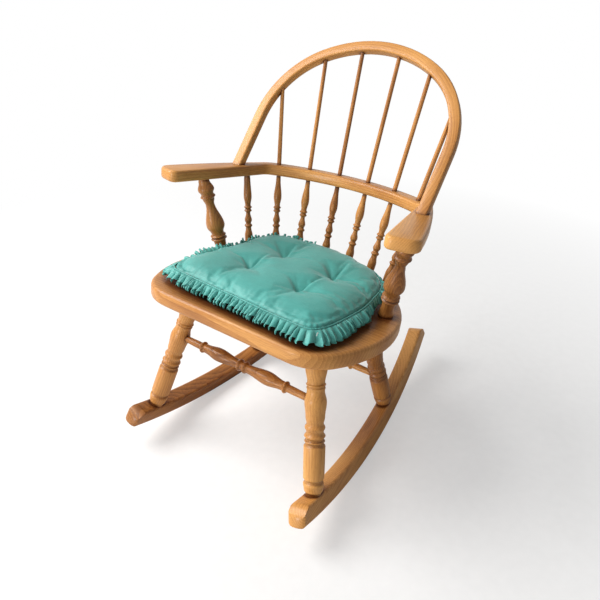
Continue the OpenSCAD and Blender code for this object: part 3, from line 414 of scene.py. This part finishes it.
# %% The cloth finish
# The frill's teal is the cover's teal made paler, painted light that lifts the frill against the painted
# shade in its folds.
TEAL, LIT_FRILL_TEAL = (0.054, 0.320, 0.284), (0.068, 0.345, 0.305)
FOLD_SHADE_TINT = (0.28, 0.42, 0.40, 1)
THREAD = 0.0007
SLUB_SQUEEZE = (60, 900, 900)
FOLD_SHADE_REACH = 0.010
WEAVE_DEEP, RUMPLE_DEEP = 0.0003, 0.004


def cloth_colour(tree, place, faded, colour):
    """Faded in patches, with slubs along the threads and painted shade in the folds."""
    slubs = add(tree, "ShaderNodeTexNoise", {
        "Vector": stretch(tree, place, SLUB_SQUEEZE), "Scale": 1.0, "Detail": 2.0}).outputs["Fac"]
    dark = tuple(c * 0.80 for c in colour)
    pale = tuple(min(1.0, c * 1.16 + 0.012) for c in colour)
    tone = maths(tree, "MULTIPLY_ADD", about_zero(tree, slubs), 0.5, faded)
    shade = ramp(tree, tone, [(0.30, dark), (0.52, colour), (0.74, pale)])
    # Painted shade: the less sky a fold sees, the darker its tint.
    nook = add(tree, "ShaderNodeAmbientOcclusion", {"Distance": FOLD_SHADE_REACH}, samples=6).outputs["AO"]
    deep = maths(tree, "MULTIPLY", slope(tree, nook, 0.30, 0.85, 1.0, 0.0), 0.55)
    return mixed(tree, "MULTIPLY", deep, shade, FOLD_SHADE_TINT)


def threads(tree, place, way):
    return add(tree, "ShaderNodeTexWave", {
        "Vector": place, "Scale": ONE_WAVE / THREAD, "Distortion": 0.6,
    }, wave_type="BANDS", bands_direction=way).outputs["Fac"]


def teal_cloth(name, colour, creased):
    """Plain woven cotton; creased says how many small rumples lie in a metre."""
    material = bpy.data.materials.new(name)
    material.use_nodes = True
    tree = material.node_tree
    surface = tree.nodes["Principled BSDF"]
    place = add(tree, "ShaderNodeTexCoord").outputs["Object"]
    faded = add(tree, "ShaderNodeTexNoise", {
        "Vector": place, "Scale": 7.0, "Detail": 4.0, "Roughness": 0.6}).outputs["Fac"]
    tree.links.new(cloth_colour(tree, place, faded, colour), surface.inputs["Base Color"])
    tree.links.new(maths(tree, "MULTIPLY_ADD", faded, 0.16, 0.44), surface.inputs["Roughness"])
    surface.inputs["Sheen Weight"].default_value = 0.25
    surface.inputs["Sheen Roughness"].default_value = 0.4
    weave = maths(tree, "MULTIPLY", threads(tree, place, "X"), threads(tree, place, "Y"))
    rumple = add(tree, "ShaderNodeTexNoise", {
        "Vector": place, "Scale": creased, "Detail": 3.0}).outputs["Fac"]
    fine = add(tree, "ShaderNodeBump", {
        "Strength": 0.20, "Distance": WEAVE_DEEP, "Height": weave}).outputs[0]
    coarse = add(tree, "ShaderNodeBump", {
        "Strength": 0.26, "Distance": RUMPLE_DEEP, "Height": rumple, "Normal": fine}).outputs[0]
    tree.links.new(coarse, surface.inputs["Normal"])
    return material


cover_cloth = teal_cloth("cushion_cover_cloth", TEAL, 34.0)
frill_cloth = teal_cloth("frill_cloth", LIT_FRILL_TEAL, 90.0)
print("threads in a centimetre:", round(0.01 / THREAD))

# %% [markdown]
# ## The seam of the cushion
# The cushion is two shaped panels, sewn together along one seam. The seam's outline is a
# smooth closed curve through a few measured points, and the frill, the welt and the
# cushion's pinned edge all use it. A Catmull-Rom curve is used because it passes through
# its points.

# %% Draw the seam's outline
HALF_W, BACK, FRONT = 211.0, 232.0, 141.0
ROUND_BACK = (0, 12, 24)
SIDE_AND_BACK = ((0.66, 0.845), (0.865, 0.63), (0.94, 0.38), (0.99, 0.12))
SIDE_AND_FRONT = ((1, 0.25), (0.985, 0.70), (0.91, 0.95), (0.72, 1), (0.36, 1.01), (0, 1))
half = [(BACK * math.sin(math.radians(a)), BACK * math.cos(math.radians(a))) for a in ROUND_BACK]
half += [(w * HALF_W, b * BACK) for w, b in SIDE_AND_BACK]
half += [(w * HALF_W, -f * FRONT) for w, f in SIDE_AND_FRONT]
SEAM = np.array(half + [(-x, y) for x, y in half[-2:0:-1]])
COUNT = len(SEAM)


def seam_at(t):
    """The point at t, where t counts the seam's points and may lie between two of them."""
    i, f = int(math.floor(t)), t - math.floor(t)
    p0, p1, p2, p3 = (SEAM[(i + k) % COUNT] for k in (-1, 0, 1, 2))
    bend, twist = 2 * p0 - 5 * p1 + 4 * p2 - p3, 3 * p1 - p0 - 3 * p2 + p3
    return 0.5 * (2 * p1 + (p2 - p0) * f + bend * f ** 2 + twist * f ** 3)


def seam_out(t):
    """The direction straight out from the cushion, seen from above."""
    d = seam_at(t + 0.05) - seam_at(t - 0.05)
    return np.array((-d[1], d[0])) / np.linalg.norm(d)


outline = np.array([seam_at(t) for t in np.linspace(0, COUNT, 961)[:-1]])
steps = np.diff(outline, axis=0, append=outline[:1])
print("seam length in mm:", round(float(np.linalg.norm(steps, axis=1).sum())))

# %% [markdown]
# ## The cushion's own ruler
# The cushion lies on the leaning seat, and turned on it a little, so it has a ruler of its
# own: millimetres from the seat's middle, and the height above the seat. Two functions go
# back and forth between that ruler and the scene. The cushion has also settled in use: its
# rear rides up on the spindles, and its rear right corner is drawn out.

# %% To the cushion's ruler and back
SEAM_UP, REAR_RISE = 31.0, 9.0
TURN = math.radians(-3)
DRAWN_CORNER, DRAWN_REACH, DRAWN_BY = (-150, 165), 70, (-8, 7, 4)
REAR_FROM, REAR_RUN, REAR_PUSH = 60, 160, 4
STILL_BELOW, PANEL_UP = 4, 27


def from_scene(points):
    p = points * 1000 - np.array((0, SHIFT_Y, SHIFT_Z))
    y = p[:, 1] * math.cos(LEAN) - p[:, 2] * math.sin(LEAN)
    z = p[:, 1] * math.sin(LEAN) + p[:, 2] * math.cos(LEAN) - SEAT_TOP
    x = p[:, 0]
    return np.stack((x * math.cos(TURN) + y * math.sin(TURN),
                     y * math.cos(TURN) - x * math.sin(TURN), z), 1)


def to_scene(points):
    x = points[:, 0] * math.cos(TURN) - points[:, 1] * math.sin(TURN)
    y = points[:, 0] * math.sin(TURN) + points[:, 1] * math.cos(TURN)
    z = points[:, 2] + SEAT_TOP
    return np.stack((x, y * math.cos(LEAN) + z * math.sin(LEAN) + SHIFT_Y,
                     z * math.cos(LEAN) - y * math.sin(LEAN) + SHIFT_Z), 1) / 1000


def seam_up(y):
    """The seam's height above the seat."""
    share = np.clip(np.asarray(y, float) / BACK, 0, 1)
    return SEAM_UP + REAR_RISE * (1 - np.cos(np.pi * share)) / 2


def settled(points):
    x, y, z = np.asarray(points, float).T
    away = (x - DRAWN_CORNER[0]) ** 2 + (y - DRAWN_CORNER[1]) ** 2
    corner = np.exp(-away / DRAWN_REACH ** 2)
    rear = np.clip((y - REAR_FROM) / REAR_RUN, 0, 1) ** 2
    lifted = np.clip((z - STILL_BELOW) / PANEL_UP, 0, 1)
    return np.stack((x + DRAWN_BY[0] * corner, y + DRAWN_BY[1] * corner,
                     z + (DRAWN_BY[2] * corner + REAR_PUSH * rear) * lifted), 1)


print("height of the seam at the front and the rear:", SEAM_UP, SEAM_UP + REAR_RISE)

# %% [markdown]
# ## Helpers for meshes
# A mesh is a list of points and a list of faces that name those points. NumPy moves all the
# points at once, which is far quicker than a loop. Baking gives the mesh as its modifiers
# leave it, so the next step can work on the result.

# %% Make, read and bake meshes
def new_piece(name, points, faces):
    mesh = bpy.data.meshes.new(name)
    mesh.from_pydata([tuple(p) for p in points], [], faces)
    mesh.update()
    thing = bpy.data.objects.new(name, mesh)
    bpy.context.scene.collection.objects.link(thing)
    return thing


def points_of(mesh):
    flat = np.zeros(len(mesh.vertices) * 3)
    mesh.vertices.foreach_get("co", flat)
    return flat.reshape(-1, 3)


def baked(thing):
    """The mesh as its modifiers leave it, at the current frame."""
    graph = bpy.context.evaluated_depsgraph_get()
    return bpy.data.meshes.new_from_object(thing.evaluated_get(graph))


print("the CAD cushion's points:", len(points_of(nodes["cushion"].data)))

# %% [markdown]
# ## The cushion's cover
# A cushion is cloth pulled over a filling, so the cloth simulation shapes it. The CAD block
# is copied and remeshed into even squares first, because cloth folds well only on even
# squares.

# %% Cut the cover into even squares
SQUARE = 0.005
cushion = bpy.data.objects.new("cushion_cover", nodes["cushion"].data.copy())
bpy.context.scene.collection.objects.link(cushion)
cushion.modifiers.new("weld", "WELD").merge_threshold = SAME_PLACE
remesh = cushion.modifiers.new("even squares", "REMESH")
remesh.mode = "VOXEL"
remesh.voxel_size = SQUARE
cushion.data = baked(cushion)
cushion.modifiers.clear()
start = points_of(cushion.data)
local = from_scene(start)
print("cushion squares:", len(cushion.data.polygons))

# %% [markdown]
# ## What holds the cover
# Thread holds the cover in two places: along the seam, and at the four tufts, where it goes
# right through the filling. The underside is held by the seat. These points form a group
# that the simulation keeps still.

# %% Hold the seam, the tufts and the underside
TUFT_MIDDLE, TUFTS_APART, TUFTS_TURN = (16, 24), (76, 56), math.radians(-5)
TOP_FROM, TUFT_HOLDS, SEAM_HOLDS, SEAM_THICK, SEAT_HOLDS = 15, 6, 5, 6, 2
c, s = math.cos(TUFTS_TURN), math.sin(TUFTS_TURN)
TUFTS = []
for across in (-1, 1):
    for back in (-1, 1):
        x, y = TUFTS_APART[0] * across, TUFTS_APART[1] * back
        TUFTS.append((TUFT_MIDDLE[0] + x * c - y * s, TUFT_MIDDLE[1] + x * s + y * c))

from_edge = np.full(len(local), 1e9)
for p in outline[::4]:
    from_edge = np.minimum(from_edge, np.hypot(local[:, 0] - p[0], local[:, 1] - p[1]))

held = cushion.vertex_groups.new(name="held")
for i, (x, y, z) in enumerate(local):
    at_tuft = z > TOP_FROM and min(math.hypot(x - a, y - b) for a, b in TUFTS) < TUFT_HOLDS
    at_seam = from_edge[i] < SEAM_HOLDS and abs(z - seam_up(y)) < SEAM_THICK
    if at_tuft or at_seam or z < SEAT_HOLDS:
        held.add([i], 1.0, "REPLACE")
print("tufts:", [(round(a), round(b)) for a, b in TUFTS])

# %% [markdown]
# ## Fill the cushion
# The cover is blown up from inside while the held points stay where they are. A negative
# shrink makes the cloth a little larger than the block, and the spare length gathers into
# creases that run out from the tufts, as on the real cushion. No point may move far, so the
# cushion keeps the size of the CAD block.

# %% Blow up the cover
STEPS, SPARE_CLOTH, PRESSURE, FARTHEST_MOVE = 20, 0.032, 4.0, 0.008
cloth = cushion.modifiers.new("cloth", "CLOTH")
how = cloth.settings
how.quality = 6
how.mass = 0.15
how.tension_stiffness = how.compression_stiffness = 12
how.shear_stiffness = 6
how.bending_stiffness = 0.15
how.use_pressure = True
how.uniform_pressure_force = PRESSURE
how.shrink_min = -SPARE_CLOTH
how.vertex_group_mass = "held"
how.effector_weights.gravity = 0.0
cloth.collision_settings.use_collision = False
cloth.collision_settings.use_self_collision = False
for step in range(STEPS):
    bpy.context.scene.frame_set(1 + step)
move = points_of(baked(cushion)) - start
cushion.modifiers.clear()
bpy.context.scene.frame_set(1)
size = np.linalg.norm(move, axis=1, keepdims=True)
start = start + move * (FARTHEST_MOVE * np.tanh(size / FARTHEST_MOVE) / np.maximum(size, 1e-9))
print("most that the cloth moved in mm:", round(float(size.max()) * 1000, 1))

# %% [markdown]
# ## Creases and tufts
# Voxels are too coarse for a sharp crease, so the fine work comes after the simulation, on
# squares of half the size. A crease is a groove that is steep on one side. A tuft is a flat
# facet between two creases, with a soft roll of cloth beside the first one.

# %% Two ways to press the cloth down
BLUNT_SIDE = 2.6
FACET_PAST_FIRST, FACET_PAST_SECOND = 4.5, 6.0
ROLL_HIGH, ROLL_FROM, ROLL_WIDE = 2.6, 11, 6.5
cushion.data.vertices.foreach_set("co", start.ravel())
finer = cushion.modifiers.new("finer", "SUBSURF")
finer.levels = finer.render_levels = 1
cushion.data = baked(cushion)
cushion.modifiers.clear()
x, y, z = from_scene(points_of(cushion.data)).T.copy()


def crease(a, b, width, depth, sharp=1.0):
    """A groove from a to b that is deepest at a and fades towards b."""
    d = np.array(b) - np.array(a)
    length = np.hypot(*d)
    u, n = d / length, np.array((-d[1], d[0])) / length
    run = (x - a[0]) * u[0] + (y - a[1]) * u[1]
    off = (x - a[0]) * n[0] + (y - a[1]) * n[1]
    fade = np.clip(1 - run / length, 0, 1) ** sharp * (run > -width)
    blunt = width * BLUNT_SIDE
    side = np.where(off > 0, np.exp(-(off / width) ** 2), np.exp(-(off / blunt) ** 2))
    return depth * fade * side


def pinch(tuft, first, second, depth):
    """A flat facet between two creases that start at a tuft, with a roll along the first."""
    cross = first[0] * second[1] - first[1] * second[0]
    rx, ry = x - tuft[0], y - tuft[1]
    u = (rx * second[1] - ry * second[0]) / cross
    v = (ry * first[0] - rx * first[1]) / cross
    past_first = np.maximum(-v, 0) * abs(cross) / math.hypot(*first)
    past_second = np.maximum(-u, 0) * abs(cross) / math.hypot(*second)
    near = np.clip(1 - np.maximum(u, 0) - np.maximum(v, 0), 0, 1)
    past = (past_first / FACET_PAST_FIRST) ** 2 + (past_second / FACET_PAST_SECOND) ** 2
    beside = np.exp(-((past_first - ROLL_FROM) / ROLL_WIDE) ** 2) * (past_first > 0) * (u > -0.05)
    return depth * near ** 1.1 * np.exp(-past) - ROLL_HIGH * near ** 0.7 * beside


print("cover points:", len(x))

# %% [markdown]
# ## Tufts, tucks and a flat underside
# Each tuft gets its facet, whose two creases run towards the rear of the chair and towards
# its right, and short tucks run in from the seam at the front, where the cloth is gathered.
# Only the upper panel is pressed, and the underside is kept on the seat's dished face.

# %% Shape the cushion
CREASES = [((-12, 85), (-58, 31)), ((-16, 66), (-64, 40)), ((0, 92), (-58, 27)), ((-14, 92), (-63, 42))]
TUFT_DEEP, TUFT_WIDE, FACET_DEEP = 3.0, 7, 8.5
FIRST_CREASE, SECOND_CREASE = (2.2, 3.0, 0.8), (1.8, 1.6)
TUCKS, TUCKS_FROM, TUCKS_TO, TUCK_WIDE, TUCK_FADE = 19, 8.6, 15.4, 2.2, 1.3
DISH_RADIUS, DISH_DEEP, DISH_BACK, CLEAR = 187, 8, 20, 0.6
upper = np.clip((z - 26) / 10, 0, 1)
drop = np.zeros(len(x))
for (a, b), (first, second) in zip(TUFTS, CREASES):
    drop += TUFT_DEEP * np.exp(-(np.hypot(x - a, y - b) / TUFT_WIDE) ** 2)
    drop += pinch((a, b), first, second, FACET_DEEP)
    drop += crease((a, b), (a + first[0], b + first[1]), *FIRST_CREASE)
    end = (a + second[0] * 0.7 + first[0] * 0.2, b + second[1] * 0.7 + first[1] * 0.2)
    drop += crease((a, b), end, *SECOND_CREASE)
tucks = random.Random(21)
for t in np.linspace(TUCKS_FROM, TUCKS_TO, TUCKS):
    t += tucks.uniform(-0.12, 0.12)
    p, n = seam_at(t), seam_out(t)
    inward = p - n * tucks.uniform(16, 52) + np.array((tucks.uniform(-6, 12), 0))
    drop += crease(tuple(p - n * 3), tuple(inward), TUCK_WIDE, tucks.uniform(0.8, 3.4), TUCK_FADE)
z = z - drop * upper
gap = np.hypot(x, y - DISH_BACK) / DISH_RADIUS
seat_up = np.where(gap < 1, -DISH_DEEP * (1 - gap ** 2), 0) + CLEAR
z = np.where(z < 20, np.maximum(z, seat_up), z)
cushion.data.vertices.foreach_set("co", to_scene(settled(np.stack((x, y, z), 1))).ravel())
cushion.data.update()
smooth_faces(cushion)
cushion.data.materials.clear()
cushion.data.materials.append(cover_cloth)
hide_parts("cushion")
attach(cushion, "cushion")
print("cushion height in mm:", round(float(z.max())))

# %% [markdown]
# ## The frill's folds
# The frill is a strip of the same cloth that is gathered at the seam, so its free edge is
# much longer than the seam and stands in folds. A simulation of so many small folds is slow
# and seldom neat, so the strip is drawn instead. First each fold gets its own width, depth
# and tilt by chance, as no two folds of a gathered strip are alike.

# %% Deal out the folds
FRILL_FROM, FRILL_TO = 3.05, COUNT - 1.3
FOLDS, SAMPLES, ROWS = 118, 12, 8
fold_luck = random.Random(5)
widths = np.array([fold_luck.uniform(0.4, 2.1) for _ in range(FOLDS)])
marks = np.concatenate(([0], np.cumsum(widths))) / widths.sum()
depths = [fold_luck.uniform(0.35, 1.75) for _ in range(FOLDS + 1)]
tilts = [fold_luck.uniform(-1.0, 1.0) for _ in range(FOLDS + 1)]

fine_t = np.linspace(FRILL_FROM, FRILL_TO, 4000)
fine_p = np.array([seam_at(t) for t in fine_t])
fine_s = np.concatenate(([0], np.cumsum(np.linalg.norm(np.diff(fine_p, axis=0), axis=1))))
print("mean width of a fold in mm:", round(fine_s[-1] / FOLDS, 1))

# %% [markdown]
# ## Where the frill has room
# The frill stands out freely in front, and most at the front left corner. Beside the arm
# posts, the short spindles and the back it has less room and lies closer. Towards the rear
# it leans on the spindles and is pushed up, more on the chair's right side.

# %% Room, flare and lift along the seam
POST_BACK, POST_TAKES, POST_WIDE = 84, 0.60, 46
SPINDLE_BACK, SPINDLE_TAKES, SPINDLE_WIDE, BEHIND_ROOM = 157, 0.58, 36, 0.42
FLARE, CORNER_FLARE, FLARE_CORNER, CORNER_REACH = 18.5, 8.0, (200, -130), 65
DROOP, LIFT_RUN = 17.5, 90
LIFT_RIGHT, LIFT_LEFT = (-95, 24.0), (60, 9.0)
LEAST_UP = 4.5


def frill_room(q):
    if q[1] > SPINDLE_BACK:
        return BEHIND_ROOM
    post = POST_TAKES * math.exp(-((q[1] - POST_BACK) / POST_WIDE) ** 2)
    spindle = SPINDLE_TAKES * math.exp(-((q[1] - SPINDLE_BACK) / SPINDLE_WIDE) ** 2)
    return 1 - max(post, spindle)


def corner_share(q):
    away = (q[0] - FLARE_CORNER[0]) ** 2 + (q[1] - FLARE_CORNER[1]) ** 2
    return math.exp(-away / CORNER_REACH ** 2)


def lift_at(q):
    start, lift = LIFT_RIGHT if q[0] < 0 else LIFT_LEFT
    return lift * max(0.0, min(1.0, (q[1] - start) / LIFT_RUN))


print("room beside the arm posts:", round(frill_room((0, POST_BACK)), 2))

# %% [markdown]
# ## Gather the frill
# Each fold is one wave that is flat at the seam and grows towards the free edge. It goes out
# and in, up and down, and also leans sideways, which makes the rounded shape that a folded
# strip has.

# %% Draw the gathered strip
SEWN_OUT, SEWN_DOWN = 1.2, 0.5
TILT_OUT, WAVE_OUT, LEAN_ALONG, TILT_UP, WAVE_UP = 3.6, 5.2, 2.2, 3.8, 3.8
frill_points = []
columns = FOLDS * SAMPLES + 1
for c in range(columns):
    fold = min(c // SAMPLES, FOLDS - 1)
    part = (c - fold * SAMPLES) / SAMPLES
    share = marks[fold] + (marks[fold + 1] - marks[fold]) * part
    t = float(np.interp(share * fine_s[-1], fine_s, fine_t))
    p, n = seam_at(t), seam_out(t)
    along = np.array((n[1], -n[0]))
    room, corner, lift = frill_room(p), corner_share(p), lift_at(p)
    deep = depths[fold] + (depths[fold + 1] - depths[fold]) * part
    tilt = tilts[fold] + (tilts[fold + 1] - tilts[fold]) * part
    wave = math.sin(2 * math.pi * part)
    lean = math.sin(4 * math.pi * part)
    fold_up = TILT_UP * tilt + WAVE_UP * deep * math.cos(2 * math.pi * part)
    for r in range(ROWS + 1):
        h = r / ROWS
        flare = FLARE * h ** 0.8 + TILT_OUT * tilt * h + CORNER_FLARE * corner * h
        off = SEWN_OUT + (flare + WAVE_OUT * deep * wave * h ** 0.8) * room
        side = LEAN_ALONG * deep * lean * h
        height = float(seam_up(p[1])) - SEWN_DOWN - DROOP * h ** 1.5 + (fold_up + lift) * h
        q = p + n * off + along * side
        frill_points.append((q[0], q[1], max(height, LEAST_UP)))
frill_points = to_scene(settled(frill_points))
print("points of the frill:", len(frill_points))

# %% [markdown]
# ## Sew the frill on
# Neighbouring points are joined into squares, and a thin shell gives the cloth its
# thickness.

# %% Make the frill's mesh
CLOTH_THICK = 0.0008
frill_faces = []
for c in range(columns - 1):
    for r in range(ROWS):
        a = c * (ROWS + 1) + r
        frill_faces.append((a, a + 1, a + ROWS + 2, a + ROWS + 1))
frill = new_piece("cushion_ruffle", frill_points, frill_faces)
smooth_faces(frill)
frill.modifiers.new("thickness", "SOLIDIFY").thickness = CLOTH_THICK
frill.data.materials.append(frill_cloth)
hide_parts("cushion_frill")
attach(frill, "cushion")

# %% [markdown]
# ## A round thread
# Both the welt and the stitch are thin and round. A tube is made for them: a ring of points
# round each place, square to the way the thread runs, and faces between one ring and the
# next. The thickness may change from place to place.

# %% Make a thread
SIDES = 8


def thread_piece(name, places, radius, closed=False):
    """A round thread through places, as a mesh tube."""
    places = [Vector(p) for p in places]
    rings, faces = [], []
    last = len(places) - 1
    for i, p in enumerate(places):
        before = places[i - 1] if i or closed else p
        after = places[(i + 1) % len(places)] if i < last or closed else p
        way = (after - before).normalized()
        side = way.cross(Vector((0, 0, 1))).normalized()
        top = side.cross(way)
        r = radius[i] if hasattr(radius, "__len__") else radius
        for k in range(SIDES):
            a = 2 * math.pi * k / SIDES
            rings.append(p + side * r * math.cos(a) + top * r * math.sin(a))
    for i in range(len(places) if closed else last):
        j = (i + 1) % len(places)
        for k in range(SIDES):
            m = (k + 1) % SIDES
            faces.append((i * SIDES + k, j * SIDES + k, j * SIDES + m, i * SIDES + m))
    if not closed:
        faces.append(tuple(range(SIDES)))
        faces.append(tuple(last * SIDES + k for k in reversed(range(SIDES))))
    thing = new_piece(name, rings, faces)
    smooth_faces(thing)
    return thing


print("sides of a thread:", SIDES)

# %% [markdown]
# ## The welt
# A narrow welt of the cover's cloth hides the seam. It runs all the way round, a little
# outside the seam, and is uneven where the cloth under it is gathered.

# %% Sew the welt
WELT_RADIUS, WELT_RIPPLE = 0.0019, 0.00035
WELT_OUT, WELT_UP = 0.9, 0.6
welt_places, welt_radii = [], []
ripple = random.Random(3)
for t in np.linspace(0, COUNT, 721)[:-1]:
    p, n = seam_at(t), seam_out(t)
    q = p + n * WELT_OUT
    welt_places.append((q[0], q[1], float(seam_up(p[1])) + WELT_UP))
    welt_radii.append(WELT_RADIUS + WELT_RIPPLE * ripple.uniform(-1, 1))
welt = thread_piece("cushion_welt", to_scene(settled(welt_places)), welt_radii, closed=True)
welt.data.materials.append(cover_cloth)
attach(welt, "cushion")
print("places along the welt:", len(welt_places))

# %% [markdown]
# ## The basting stitch
# One white stitch was left in at the front left corner. The thread is twisted from finer
# ones, which slanting waves in its colour and bump show.

# %% Leave the white stitch in
STITCH_RADIUS = 0.0007
STITCH = [(203.0, -146.0, 30), (203.6, -148.5, 32.6), (204.4, -151.5, 33.4),
          (205.2, -154.5, 32.2), (206.0, -156.5, 29.0)]
white_thread = bpy.data.materials.new("white_thread")
white_thread.use_nodes = True
tree = white_thread.node_tree
twist = add(tree, "ShaderNodeTexWave", {
    "Vector": add(tree, "ShaderNodeTexCoord").outputs["Object"], "Scale": 300.0, "Distortion": 1.0},
    wave_type="BANDS", bands_direction="DIAGONAL").outputs["Fac"]
surface = tree.nodes["Principled BSDF"]
whites = ramp(tree, twist, [(0.0, (0.55, 0.55, 0.52)), (1.0, (0.86, 0.86, 0.83))])
strands = add(tree, "ShaderNodeBump", {"Strength": 0.3, "Distance": 0.0002, "Height": twist})
tree.links.new(whites, surface.inputs["Base Color"])
tree.links.new(strands.outputs[0], surface.inputs["Normal"])
surface.inputs["Roughness"].default_value = 0.6
stitch = thread_piece("basting_stitch", [above_seat(*place) for place in STITCH], STITCH_RADIUS)
stitch.data.materials.append(white_thread)
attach(stitch, "cushion")
print("faces of the stitch:", len(stitch.data.polygons))

# %% [markdown]
# ## Floor and backdrop
# The chair stands on a pale studio floor, and the background is plain white. The floor is a
# real surface that catches the shadow. Part of what the camera sees of it is plain white,
# which keeps the shadow soft and pale, and further out it is all white, so no horizon shows.

# %% Lay the floor
HALF_FLOOR = 9
PLAIN_FROM, PLAIN_TO, LEAST_PLAIN = 0.7, 1.9, 0.45
corners = [(HALF_FLOOR * a, HALF_FLOOR * b, 0) for a, b in ((-1, -1), (1, -1), (1, 1), (-1, 1))]
floor = new_piece("studio_floor", corners, [(0, 1, 2, 3)])
paper = bpy.data.materials.new("studio_paper")
paper.use_nodes = True
tree = paper.node_tree
surface = tree.nodes["Principled BSDF"]
place = add(tree, "ShaderNodeTexCoord").outputs["Object"]
speckle = add(tree, "ShaderNodeTexNoise", {"Vector": place, "Scale": 40.0, "Detail": 3.0}).outputs["Fac"]
pale = ramp(tree, speckle, [(0.3, (0.84, 0.84, 0.84)), (0.7, (0.88, 0.88, 0.88))])
tree.links.new(pale, surface.inputs["Base Color"])
surface.inputs["Roughness"].default_value = 0.8
white = add(tree, "ShaderNodeEmission", {"Color": (1, 1, 1, 1), "Strength": 1.0})
path = add(tree, "ShaderNodeLightPath")
from_middle = add(tree, "ShaderNodeVectorMath", {0: place}, operation="LENGTH").outputs["Value"]
whiter = slope(tree, from_middle, PLAIN_FROM, PLAIN_TO, LEAST_PLAIN, 1.0)
share = maths(tree, "MULTIPLY", whiter, path.outputs["Is Camera Ray"])
both = add(tree, "ShaderNodeMixShader", {0: share})
tree.links.new(surface.outputs[0], both.inputs[1])
tree.links.new(white.outputs[0], both.inputs[2])
tree.links.new(both.outputs[0], tree.nodes["Material Output"].inputs["Surface"])
floor.data.materials.append(paper)
print("width of the floor in m:", 2 * HALF_FLOOR)

# %% [markdown]
# ## Light
# A large soft lamp stands high up at the left of the picture, so the left sides of the legs
# and posts are golden, their right sides are dark, and the shadow falls to the right. A
# second, weaker one stands low in front and lights the fronts. The world gives even light
# from all round, and it is white for the camera, and for what glass or gloss shows of it.

# %% Set the lamps
def soft_lamp(name, place, aim, size, power, colour=(1, 1, 1)):
    lamp = bpy.data.lights.new(name, "AREA")
    lamp.shape = "DISK"
    lamp.size = size
    lamp.energy = power
    lamp.color = colour
    thing = bpy.data.objects.new(name, lamp)
    bpy.context.scene.collection.objects.link(thing)
    thing.location = place
    thing.rotation_euler = (Vector(aim) - Vector(place)).to_track_quat("-Z", "Y").to_euler()


UNDER_SEAT, WARM_WHITE, WORLD_LIGHT = (0, 0, 0.4), (1.0, 0.985, 0.96), 0.23
soft_lamp("lamp_left", (-2.0, -1.1, 2.5), UNDER_SEAT, 2.2, 138, WARM_WHITE)
soft_lamp("lamp_front", (-0.6, -3.0, 0.8), UNDER_SEAT, 0.9, 38)
world = bpy.data.worlds.new("studio")
bpy.context.scene.world = world
world.use_nodes = True
tree = world.node_tree
path = add(tree, "ShaderNodeLightPath")
seen = maths(tree, "MAXIMUM", path.outputs["Is Camera Ray"],
             maths(tree, "MAXIMUM", path.outputs["Is Glossy Ray"], path.outputs["Is Transmission Ray"]))
sky = tree.nodes["Background"]
tree.links.new(slope(tree, seen, 0.0, 1.0, WORLD_LIGHT, 1.0), sky.inputs["Strength"])
sky.inputs["Color"].default_value = (1, 1, 1, 1)
bpy.context.scene.view_settings.view_transform = "Standard"
